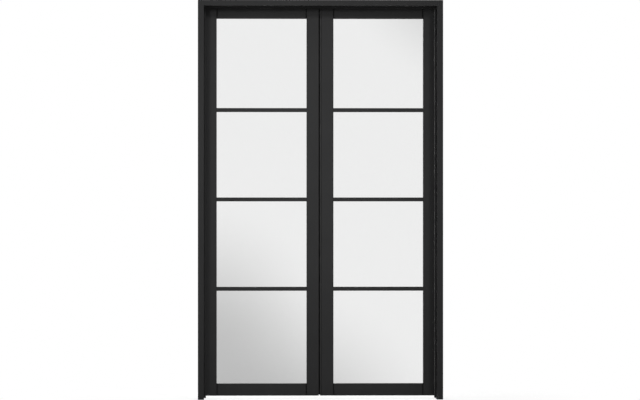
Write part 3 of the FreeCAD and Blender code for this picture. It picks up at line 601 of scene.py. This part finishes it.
class Dresser:
    """Holds the finishes and puts them on nodes and pieces."""

    def __init__(self) -> None:
        """Builds the shared groups and every material that isn't made for one piece."""
        self.effects = Effects()
        metals = [
            MetalFinish("hinge_steel", (0.56, 0.56, 0.55), (0.3, 0.3, 0.3), 0.3),
            MetalFinish("screw_steel", (0.6, 0.58, 0.52), (0.36, 0.35, 0.32), 0.34, Run.ACROSS),
            MetalFinish("catch_brass", (0.72, 0.5, 0.22), (0.42, 0.28, 0.11), 0.26, Run.ACROSS),
            MetalFinish("catch_steel", (0.7, 0.7, 0.7), (0.5, 0.5, 0.5), 0.12, Run.ACROSS),
        ]
        softs = [
            SoftFinish("brush_pile", (0.007, 0.007, 0.007), (0.014, 0.014, 0.014), 0.9, sheen=0.02),
            SoftFinish("glazing_tape", (0.012, 0.012, 0.012), (0.025, 0.025, 0.025), 0.8),
            SoftFinish("block_plastic", (0.03, 0.03, 0.03), (0.05, 0.05, 0.05), 0.5),
            SoftFinish("dowel_timber", (0.5, 0.34, 0.19), (0.66, 0.5, 0.33), 0.65, Run.ACROSS, 20.0, 700.0),
        ]
        self.shared = {finish.title: finish.plate(self.effects) for finish in metals}
        self.shared |= {finish.title: finish.body(self.effects) for finish in softs}
        self.shared["clear_glass"] = GlassFinish().sheet(self.effects)
        self.shared["black_paint"] = PLAIN_PAINT.coat("filler", CAD_BOX, Run.ACROSS, self.effects)

    @staticmethod
    def cover(thing: bpy.types.Object, material: bpy.types.Material) -> None:
        """Gives an object one material in place of any that it had."""
        thing.data.materials.clear()
        thing.data.materials.append(material)

    def finish(self, slot: str, *nodes: str) -> None:
        """Puts a shared finish on CAD nodes.

        Args:
            slot: The finish, named as the record's material slot.
            *nodes: The nodes to cover.
        """
        for node in nodes:
            self.cover(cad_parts[node], self.shared[slot])
            LOG.info("%s: %s", node, slot)

    def coat(self, run: Run, *nodes: str, paint: PaintFinish = PLAIN_PAINT) -> None:
        """Paints CAD nodes black.

        Args:
            run: The way that the grain under the paint goes.
            *nodes: The nodes to paint.
            paint: The paint and its wear.
        """
        for node in nodes:
            self.cover(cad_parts[node], paint.coat(node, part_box(node), run, self.effects))
            LOG.info("%s: painted", node)

    def piece(
        self, title: str, slot: str, body: str, points: np.ndarray, *faces: np.ndarray
    ) -> bpy.types.Object:
        """Makes a new piece from arrays and lets it ride on a CAD body.

        Args:
            title: The piece's name.
            slot: The record's material slot that it takes its finish from.
            body: The CAD body that it moves with.
            points: Its vertices, one row each, in metres.
            *faces: Arrays of vertex numbers, each with one face to a row.

        Returns:
            The new object.
        """
        mesh = bpy.data.meshes.new(title)
        mesh.vertices.add(len(points))
        mesh.vertices.foreach_set("co", np.ascontiguousarray(points, np.float32).ravel())
        sizes = np.concatenate([np.full(len(group), group.shape[1]) for group in faces])
        corners = np.concatenate([group.ravel() for group in faces])
        mesh.loops.add(len(corners))
        mesh.loops.foreach_set("vertex_index", corners.astype(np.int32))
        mesh.polygons.add(len(sizes))
        mesh.polygons.foreach_set("loop_start", (np.cumsum(sizes) - sizes).astype(np.int32))
        mesh.polygons.foreach_set("use_smooth", np.ones(len(sizes), bool))
        mesh.update(calc_edges=True)
        mesh.validate()
        thing = bpy.data.objects.new(title, mesh)
        bpy.context.scene.collection.objects.link(thing)
        self.cover(thing, self.shared[slot])
        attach(thing, body)
        LOG.info("%s: %d vertices, rides on %s", title, len(points), body)
        return thing


def ring_faces(rows: int, columns: int) -> np.ndarray:
    """Joins rows of points into quads, each row closed on itself.

    Point number = row * columns + column. A quad takes a point, the next in its row, and the two above them.

    Args:
        rows: How many rows there are.
        columns: How many points a row has.

    Returns:
        One quad to a row.
    """
    row, column = np.meshgrid(np.arange(rows - 1), np.arange(columns), indexing="ij")
    ahead = (column + 1) % columns
    start = row * columns
    corners = [start + column, start + ahead, start + columns + ahead, start + columns + column]
    return np.stack(corners, axis=-1).reshape(-1, 4)


def fan_faces(first: int, columns: int, centre: int, upward: bool) -> np.ndarray:
    """Closes a row of points with triangles that meet in a centre point.

    Args:
        first: The number of the row's first point.
        columns: How many points the row has.
        centre: The number of the centre point.
        upward: Whether the fan closes the last row, which turns the triangles round.

    Returns:
        One triangle to a row.
    """
    column = np.arange(columns)
    ahead = (column + 1) % columns
    order = [column, ahead] if upward else [ahead, column]
    return np.stack([first + order[0], first + order[1], np.full(columns, centre)], axis=-1)


def closed_rings(
    rings: np.ndarray, start: np.ndarray, end: np.ndarray
) -> tuple[np.ndarray, list[np.ndarray]]:
    """Makes a closed skin from rings of points and the two points that close its ends.

    Args:
        rings: The points, as rows by columns by three.
        start: The point that closes the first ring.
        end: The point that closes the last ring.

    Returns:
        The vertices, and the arrays of quads and triangles.
    """
    rows, columns = rings.shape[:2]
    points = np.vstack([rings.reshape(-1, 3), start, end])
    total = rows * columns
    faces = [
        ring_faces(rows, columns),
        fan_faces(0, columns, total, False),
        fan_faces(total - columns, columns, total + 1, True),
    ]
    return points, faces


@dataclass
class Lining:
    """The fixed frame: two jambs, a head, the stops that are pinned to them, and their fasteners."""

    dresser: Dresser
    # Painted highlight along the stop's inner arris; the jamb covers the stop's right side, so none shows
    # there.
    painted_highlight_edge: PaintFinish = PaintFinish(
        edge_wear_and_highlight=(0.3, 0.297, 0.292), edge_mark_width=3.0 * MILLIMETRE, covered=(0.05, 0.0, 0.0)
    )

    def dress(self) -> None:
        """Paints the frame, with a painted highlight along one stop's edge, and leaves its corner screws
        plated.
        """
        self.dresser.coat(Run.ACROSS, "head", "head_stop")
        self.dresser.coat(Run.UP, "left_jamb", "right_jamb", "left_stop", "stop_pins")
        # The right stop carries a painted highlight along its inner arris.
        self.dresser.coat(Run.UP, "right_stop", paint=self.painted_highlight_edge)
        self.dresser.finish("screw_steel", "corner_screws", "strike_screws")


@dataclass
class Leaf:
    """One glazed leaf: stiles, rails and bars, with four panes held from behind by pinned beads."""

    side: Side
    dresser: Dresser
    pane_count: int = 4
    glass_spread: float = 5 * MILLIMETRE
    bead_width: float = 7 * MILLIMETRE
    pin_radius: float = 1.1 * MILLIMETRE
    pin_rise: float = 0.22 * MILLIMETRE
    pin_pitch: float = 0.14
    pin_inset: float = 0.035
    pin_columns: int = 12
    pin_rings: int = 3

    def node(self, name: str) -> str:
        """Names a node of this leaf."""
        return f"{self.side.value}_{name}"

    def dress(self) -> None:
        """Paints the timber, glazes the panes and fills the pin holes of the beads."""
        self.dresser.coat(Run.UP, self.node("hinge_stile"), self.node("meeting_stile"))
        across = ["top_rail", "bottom_rail", "lower_bar", "middle_bar", "upper_bar", "glazing_beads"]
        self.dresser.coat(Run.ACROSS, *[self.node(name) for name in across])
        panes = [self.node(f"pane_{row}") for row in range(1, self.pane_count + 1)]
        self.dresser.finish("clear_glass", *panes)
        self.dresser.finish("glazing_tape", self.node("glazing_tape"))
        self.dresser.finish("block_plastic", self.node("setting_blocks"))
        self.dresser.finish("dowel_timber", self.node("dowels"))
        self.fill_pin_holes(panes)

    def pin_places(self, pane: str) -> np.ndarray:
        """Spaces pins evenly along the middle of the four beads of a pane.

        The middle line of the beads is the pane's outline, drawn in by the glass spread less half a bead.

        Args:
            pane: The pane's node.

        Returns:
            The pins' places in X and Z, one to a row.
        """
        low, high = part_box(pane)
        draw_in = self.glass_spread - self.bead_width / 2
        left, right = low.x + draw_in, high.x - draw_in
        foot, top = low.z + draw_in, high.z - draw_in
        rows = []
        for start, end, level, upright in (
            (left, right, foot, False),
            (left, right, top, False),
            (foot, top, left, True),
            (foot, top, right, True),
        ):
            count = 1 + round((end - start - 2 * self.pin_inset) / self.pin_pitch)
            along = np.linspace(start + self.pin_inset, end - self.pin_inset, count)
            fixed = np.full(count, level)
            rows.append(np.stack([fixed, along] if upright else [along, fixed], axis=-1))
        return np.vstack(rows)

    def fill_pin_holes(self, panes: list[str]) -> None:
        """Makes the filler over each pin as a shallow dome on the back of the beads.

        A dome is a few rings about its place. Ring radius = pin radius times the sine, and height = rise
        times the cosine, of an angle that falls in even steps from a right angle, closed at the crown.

        Args:
            panes: The panes whose beads are pinned.
        """
        places = np.vstack([self.pin_places(pane) for pane in panes])
        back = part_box(self.node("glazing_beads"))[1].y
        turn = np.linspace(0, FULL_TURN, self.pin_columns, endpoint=False)
        slope = np.pi / 2 * np.linspace(1, 1 / self.pin_rings, self.pin_rings)[:, None]
        spread = self.pin_radius * np.sin(slope)
        level = np.broadcast_to(self.pin_rise * np.cos(slope), (self.pin_rings, self.pin_columns))
        rings = np.stack([spread * np.cos(turn), level, -spread * np.sin(turn)], axis=-1)
        dome, faces = closed_rings(rings, np.zeros((1, 3)), np.array([[0.0, self.pin_rise, 0.0]]))
        centres = np.stack([places[:, 0], np.full(len(places), back), places[:, 1]], axis=-1)
        points = (centres[:, None, :] + dome[None, :, :]).reshape(-1, 3)
        shift = (np.arange(len(places)) * len(dome))[:, None, None]
        copies = [(group[None, :, :] + shift).reshape(-1, group.shape[1]) for group in faces]
        self.dresser.piece(self.node("bead_pins"), "black_paint", self.node("leaf"), points, *copies)


@dataclass
class Hinges:
    """Three butt hinges of one leaf with their pins and screws."""

    side: Side
    dresser: Dresser

    def dress(self) -> None:
        """Brushes the plates and pins and plates the screws."""
        steel = [f"{self.side.value}_hinge_{name}" for name in ("frame_plates", "door_plates", "pins")]
        self.dresser.finish("hinge_steel", *steel)
        screws = [f"{self.side.value}_{name}" for name in ("frame_hinge_screws", "hinge_screws")]
        self.dresser.finish("screw_steel", *screws)


@dataclass
class BallCatch:
    """The sprung ball in the top of a leaf and the strike plate above it."""

    side: Side
    dresser: Dresser
    wire_radius: float = 0.5 * MILLIMETRE
    turns: float = 7.5
    even_share: float = 0.55
    turn_steps: int = 28
    wire_sides: int = 10
    ball_rows: int = 23
    ball_columns: int = 40

    def node(self, name: str) -> str:
        """Names a node of this catch."""
        return f"{self.side.value}_catch_{name}"

    def dress(self) -> None:
        """Gives the brass its finish and models the ball and the spring."""
        self.dresser.finish("catch_brass", self.node("housing"), self.node("strike"))
        self.make_ball()
        self.make_spring()

    def make_ball(self) -> None:
        """Makes the ball as a sphere about the middle of its node.

        Point = centre + radius * (sin a cos b, sin a sin b, -cos a), with a from the foot pole to the top
        pole and b once round. The two poles are single points.
        """
        low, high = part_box(self.node("ball"))
        centre = np.array((low + high) / 2)
        radius = (high.z - low.z) / 2
        rise = np.linspace(0, np.pi, self.ball_rows + 2)[1:-1, None]
        turn = np.linspace(0, FULL_TURN, self.ball_columns, endpoint=False)[None, :]
        level = np.broadcast_to(-np.cos(rise), (self.ball_rows, self.ball_columns))
        unit = np.stack([np.sin(rise) * np.cos(turn), np.sin(rise) * np.sin(turn), level], axis=-1)
        poles = np.array([[0.0, 0.0, -1.0]]), np.array([[0.0, 0.0, 1.0]])
        points, faces = closed_rings(unit, *poles)
        title = f"{self.side.value}_ball"
        ball = self.dresser.piece(title, "catch_steel", self.node("ball"), centre + radius * points, *faces)
        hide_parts(self.node("ball"))

    def make_spring(self) -> None:
        """Makes the spring as a round wire along a helix whose end turns are closed up.

        Path = axis + coil radius * (cos t, sin t) at a height that is partly even in t and partly a smooth
        step of it, so the pitch is smaller at both ends. Each ring of the wire lies in the plane of the
        radius and the vertical.
        """
        low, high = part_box(self.node("spring"))
        centre = (low + high) / 2
        coil_radius = (high.x - low.x) / 2 - self.wire_radius
        share = np.linspace(0, 1, round(self.turns * self.turn_steps) + 1)
        turn = FULL_TURN * self.turns * share
        smooth_step = share**2 * (3 - 2 * share)
        eased = self.even_share * share + (1 - self.even_share) * smooth_step
        height = low.z + self.wire_radius + eased * (high.z - low.z - 2 * self.wire_radius)
        radial = np.stack([np.cos(turn), np.sin(turn), np.zeros_like(turn)], axis=-1)
        path = coil_radius * radial + np.array([centre.x, centre.y, 0.0])
        path[:, 2] = height
        around = np.linspace(0, FULL_TURN, self.wire_sides, endpoint=False)[None, :, None]
        upward = np.array([0.0, 0.0, 1.0])
        section = np.cos(around) * radial[:, None, :] - np.sin(around) * upward
        rings = path[:, None, :] + self.wire_radius * section
        points, faces = closed_rings(rings, path[:1], path[-1:])
        title = f"{self.side.value}_spring"
        spring = self.dresser.piece(title, "catch_steel", f"{self.side.value}_leaf", points, *faces)
        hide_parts(self.node("spring"))
        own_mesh(spring)


@dataclass
class MeetingSeal:
    """The strip on the right leaf's edge, its screws and its brush seal."""

    dresser: Dresser
    backing: float = 1.2 * MILLIMETRE
    fin: float = 0.3 * MILLIMETRE
    tip_reach: float = 0.33 * MILLIMETRE
    tuft_pitch: float = 1.25 * MILLIMETRE
    tuft_rows: int = 3
    root_half_width: float = 0.5 * MILLIMETRE
    tip_half_width: float = 0.34 * MILLIMETRE
    lean: float = 0.3 * MILLIMETRE
    seed: int = 7
    # Painted highlight along the strip's left arris; the stile covers the strip's right side, so none shows
    # there.
    painted_highlight_strip: PaintFinish = PaintFinish(
        edge_wear_and_highlight=(0.05, 0.0495, 0.0487), edge_mark_width=4.0 * MILLIMETRE, covered=(0.05, 0.0, 0.0)
    )

    def dress(self) -> None:
        """Paints the strip with a painted highlight along its free edge, plates its screws and makes the
        brush.
        """
        # The strip carries a painted highlight along its left arris.
        self.dresser.coat(Run.UP, "meeting_strip", paint=self.painted_highlight_strip)
        self.dresser.finish("screw_steel", "meeting_strip_screws")
        self.make_brush()

    @staticmethod
    def squares(x: Any, y: np.ndarray, z: np.ndarray, half_y: Any, half_z: Any) -> np.ndarray:
        """Draws a rectangle that faces along X about each place.

        Corner = place + (0, half width, half height), with the signs -+, --, +-, ++ taken in turn.

        Args:
            x: How far along X each rectangle stands.
            y: The places in Y.
            z: The places in Z.
            half_y: Half a rectangle's size in Y.
            half_z: Half its size in Z.

        Returns:
            The corners, as rectangles by four by three.
        """
        sign_y = np.array([-1.0, 1.0, 1.0, -1.0])
        sign_z = np.array([-1.0, -1.0, 1.0, 1.0])
        depth = np.broadcast_to(np.reshape(x, (-1, 1)), (len(y), 4))
        return np.stack([depth, y[:, None] + half_y * sign_y, z[:, None] + half_z * sign_z], axis=-1)

    @staticmethod
    def blocks(roots: np.ndarray, tips: np.ndarray) -> tuple[np.ndarray, np.ndarray]:
        """Makes closed four-sided blocks between pairs of rectangles.

        Args:
            roots: The four corners of each block's root, as blocks by four by three.
            tips: The four corners of each block's tip, in the same order.

        Returns:
            The vertices, and six quads for each block.
        """
        points = np.concatenate([roots, tips], axis=1)
        quads = np.array([(0, 1, 2, 3), (7, 6, 5, 4), (4, 5, 1, 0), (5, 6, 2, 1), (6, 7, 3, 2), (7, 4, 0, 3)])
        shift = (np.arange(len(points)) * points.shape[1])[:, None, None]
        return points.reshape(-1, 3), (quads[None, :, :] + shift).reshape(-1, 4)

    def make_brush(self) -> None:
        """Makes the brush: a backing strip, a thin fin along its middle, and rows of tapered tufts.

        Tufts stand on a grid in Y and Z, each row moved up by its share of the pitch so that no light passes
        straight between them. Root = face of the backing, tip = just short of the other leaf, moved by a
        small random lean. A tuft is a block whose square section narrows from root to tip.
        """
        low, high = (np.array(corner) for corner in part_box("meeting_brush"))
        draw = np.random.default_rng(self.seed)
        face = high[0] - self.backing
        tip = low[0] - self.tip_reach
        middle, half = (low + high) / 2, (high - low) / 2
        margin = self.root_half_width + self.lean
        rows = np.linspace(low[1] + margin, high[1] - margin, self.tuft_rows)
        count = int((high[2] - low[2] - 2 * margin) / self.tuft_pitch)
        step = np.arange(count) * self.tuft_pitch
        stagger = np.arange(self.tuft_rows) * self.tuft_pitch / self.tuft_rows
        y = np.repeat(rows, count)
        z = (low[2] + margin + stagger[:, None] + step[None, :]).ravel()
        lean_y, lean_z = draw.uniform(-self.lean, self.lean, (2, len(y)))
        tips_x = tip + draw.uniform(0.0, self.lean, len(y))
        spine = middle[1:2], middle[2:3]
        roots = [
            self.squares(high[0], *spine, half[1], half[2]),
            self.squares(face, *spine, self.fin / 2, half[2]),
            self.squares(face, y, z, self.root_half_width, self.root_half_width),
        ]
        ends = [
            self.squares(face, *spine, half[1], half[2]),
            self.squares(tip, *spine, self.fin / 2, half[2]),
            self.squares(tips_x, y + lean_y, z + lean_z, self.tip_half_width, self.tip_half_width),
        ]
        points, quads = self.blocks(np.concatenate(roots), np.concatenate(ends))
        brush = self.dresser.piece("meeting_pile", "brush_pile", "right_leaf", points, quads)
        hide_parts("meeting_brush")


@dataclass(frozen=True)
class Softbox:
    """A square studio lamp with a cloth front, which lights the object and isn't seen itself."""

    title: str
    place: Triple
    aim: Triple
    width: float
    height: float
    power: float
    spread: float = np.pi
    mirrored: bool = True

    def hang(self) -> None:
        """Adds the lamp to the scene, turned towards its aim."""
        lamp = bpy.data.lights.new(self.title, "AREA")
        lamp.shape = "RECTANGLE"
        lamp.size = self.width
        lamp.size_y = self.height
        lamp.energy = self.power
        lamp.spread = self.spread
        thing = bpy.data.objects.new(self.title, lamp)
        thing.location = self.place
        thing.rotation_euler = (Vector(self.aim) - Vector(self.place)).to_track_quat("-Z", "Y").to_euler()
        thing.visible_camera = False
        thing.visible_transmission = False
        thing.visible_glossy = self.mirrored
        bpy.context.scene.collection.objects.link(thing)


def stand_sheet(title: str, corners: np.ndarray, material: bpy.types.Material) -> bpy.types.Object:
    """Adds a flat sheet to the studio, which is no part of the object.

    Args:
        title: The sheet's name.
        corners: Its four corners in turn.
        material: What covers it.

    Returns:
        The new object.
    """
    mesh = bpy.data.meshes.new(title)
    mesh.from_pydata(corners.tolist(), [], [(0, 1, 2, 3)])
    sheet = bpy.data.objects.new(title, mesh)
    bpy.context.scene.collection.objects.link(sheet)
    Dresser.cover(sheet, material)
    return sheet


@dataclass(frozen=True)
class ShadeCard:
    """A grey card far behind the object, soft at its edge, whose shade shows in the glass alone."""

    title: str
    place: Triple
    radius: float
    shade: float
    grey: Colour = (0.3, 0.3, 0.3)

    def stand(self) -> None:
        """Puts the card up, facing the front, as part of the studio.

        The card is a square about its place. Its opacity falls smoothly from the shade at the middle to
        nothing at the radius.
        """
        across = self.radius * np.array([1.0, 0.0, 0.0])
        up = self.radius * np.array([0.0, 0.0, 1.0])
        corners = np.array(self.place) + np.array([-across - up, across - up, across + up, up - across])
        canvas = Canvas(self.title)
        graph = canvas.graph
        away = graph.add("ShaderNodeVectorMath", {0: canvas.position, 1: self.place}, operation="DISTANCE")
        opacity = graph.ramp(away.outputs["Value"], 0.0, self.radius, self.shade, 0.0)
        clear = graph.add("ShaderNodeBsdfTransparent")
        grey = graph.add("ShaderNodeEmission", {"Color": self.grey, "Strength": 1.0})
        canvas.show(canvas.mix(opacity, clear, grey))
        card = stand_sheet(self.title, corners, canvas.material)
        for ray in ("camera", "diffuse", "glossy", "shadow", "volume_scatter"):
            setattr(card, f"visible_{ray}", False)


LAMP_AIM: Triple = (-0.15, 0.0, 1.3)


@dataclass
class Studio:
    """A white studio: a pale floor, soft lamps, a white surround and the camera of a front view."""

    image_width: int = 640
    image_height: int = 400
    frame_centre_px: float = 320.62
    frame_top_px: float = -0.3
    metre_per_px: float = 0.005077
    camera_distance: float = 20.0
    camera_turn: float = np.radians(1.7)
    view_reach: float = 10.0
    sensor: float = 36.0
    surround_light: float = 0.22
    floor_half: float = 1.6
    floor_colour: Colour = (0.3, 0.3, 0.3)
    floor_white: float = 0.82
    floor_shade: Colour = (0.3, 0.3, 0.3)
    fade_start: float = 0.8
    fade_end: float = 1.5
    lamps: tuple[Softbox, ...] = (
        Softbox("right_softbox", (2.9, -8.0, 5.8), LAMP_AIM, 1.6, 2.8, power=7.8, spread=np.radians(15)),
        Softbox("left_softbox", (-2.9, -8.0, 3.5), LAMP_AIM, 1.6, 1.8, power=4.7, spread=np.radians(18)),
        Softbox("front_softbox", (0.1, -2.2, 1.3), (0.0, 0.0, 1.3), 1.0, 1.0, power=3.0, mirrored=False),
        Softbox("back_softbox", (-0.8, 3.4, 2.8), (0.0, 0.0, 1.1), 2.0, 1.4, power=70.0),
    )
    cards: tuple[ShadeCard, ...] = (
        ShadeCard("left_card", (-0.6, 8.0, 0.09), radius=0.96, shade=0.5),
        ShadeCard("low_card", (-0.2, 8.02, -1.01), radius=1.54, shade=1.0),
        ShadeCard("high_card", (1.33, 8.0, 2.745), radius=1.0, shade=0.66),
    )

    def build(self) -> None:
        """Sets the scene up around the finished object."""
        bpy.context.scene.view_settings.view_transform = "Standard"
        self.paint_surround()
        self.lay_floor()
        for lamp in self.lamps:
            lamp.hang()
        for card in self.cards:
            card.stand()
        self.place_camera()

    @staticmethod
    def seen_rays(graph: Graph) -> bpy.types.NodeSocket:
        """Tells the rays that show a surface from those that only carry light.

        Args:
            graph: The graph that the nodes go into.

        Returns:
            1 for camera, mirror and glass rays, and 0 for the rest.
        """
        path = graph.add("ShaderNodeLightPath").outputs
        seen = graph.math("MAXIMUM", path["Is Camera Ray"], path["Is Glossy Ray"])
        return graph.math("MAXIMUM", seen, path["Is Transmission Ray"])

    def paint_surround(self) -> None:
        """Makes the world white to the eye and gives it a lower level as a light."""
        world = bpy.data.worlds.new("white_surround")
        bpy.context.scene.world = world
        world.use_nodes = True
        world.node_tree.nodes.clear()
        graph = Graph(world.node_tree)
        light = graph.add("ShaderNodeBackground", {"Strength": self.surround_light})
        white = graph.add("ShaderNodeBackground", {"Strength": 1.0})
        for shader in (light, white):
            graph.feed(shader.inputs["Color"], (1.0, 1.0, 1.0))
        shaders = {0: self.seen_rays(graph), 1: light.outputs[0], 2: white.outputs[0]}
        mixed = graph.add("ShaderNodeMixShader", shaders)
        graph.add("ShaderNodeOutputWorld", {"Surface": mixed.outputs[0]})

    def lay_floor(self) -> None:
        """Lays a pale floor that takes the object's shadow and fades into the white surround further away."""
        canvas = Canvas("pale_floor")
        graph = canvas.graph
        plain = graph.add("ShaderNodeBsdfDiffuse", {"Color": self.floor_colour})
        shade = graph.add("ShaderNodeBsdfDiffuse", {"Color": self.floor_shade})
        pale = graph.add("ShaderNodeEmission", {"Color": (1.0, 1.0, 1.0), "Strength": self.floor_white})
        near = graph.add("ShaderNodeAddShader", {0: shade.outputs[0], 1: pale.outputs[0]})
        far = graph.add("ShaderNodeEmission", {"Color": (1.0, 1.0, 1.0), "Strength": 1.0})
        away = graph.add("ShaderNodeVectorMath", {0: canvas.position}, operation="LENGTH").outputs["Value"]
        shown = canvas.mix(graph.ramp(away, self.fade_start, self.fade_end), near, far)
        canvas.show(canvas.mix(self.seen_rays(graph), plain, shown))
        half = self.floor_half
        corners = np.array([[-half, -half, 0.0], [half, -half, 0.0], [half, half, 0.0], [-half, half, 0.0]])
        stand_sheet("studio_floor", corners, canvas.material)

    def place_camera(self) -> None:
        """Puts the camera in front and slightly to the left, at the scale and height of the picture."""
        low, high = CAD_BOX
        camera = bpy.data.cameras.new("front_camera")
        camera.sensor_fit = "HORIZONTAL"
        camera.sensor_width = self.sensor
        camera.lens = self.sensor * self.camera_distance / (self.image_width * self.metre_per_px)
        camera.clip_end = self.view_reach * self.camera_distance
        thing = bpy.data.objects.new("front_camera", camera)
        across = (self.image_width / 2 - self.frame_centre_px) * self.metre_per_px
        drop = (self.image_height / 2 - self.frame_top_px) * self.metre_per_px
        aim = Vector((across, low.y, high.z - drop))
        heading = Vector((np.sin(self.camera_turn), np.cos(self.camera_turn), 0.0))
        thing.location = aim - self.camera_distance * heading
        thing.rotation_euler = heading.to_track_quat("-Z", "Y").to_euler()
        bpy.context.scene.collection.objects.link(thing)
        bpy.context.scene.camera = thing


def main() -> None:
    """Dresses every sub-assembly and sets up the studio."""
    logging.basicConfig(level=logging.INFO, format="%(name)s %(message)s")
    dresser = Dresser()
    Lining(dresser).dress()
    for side in Side:
        Leaf(side, dresser).dress()
        Hinges(side, dresser).dress()
        BallCatch(side, dresser).dress()
    MeetingSeal(dresser).dress()
    Studio().build()


if __name__ == "__main__":
    main()
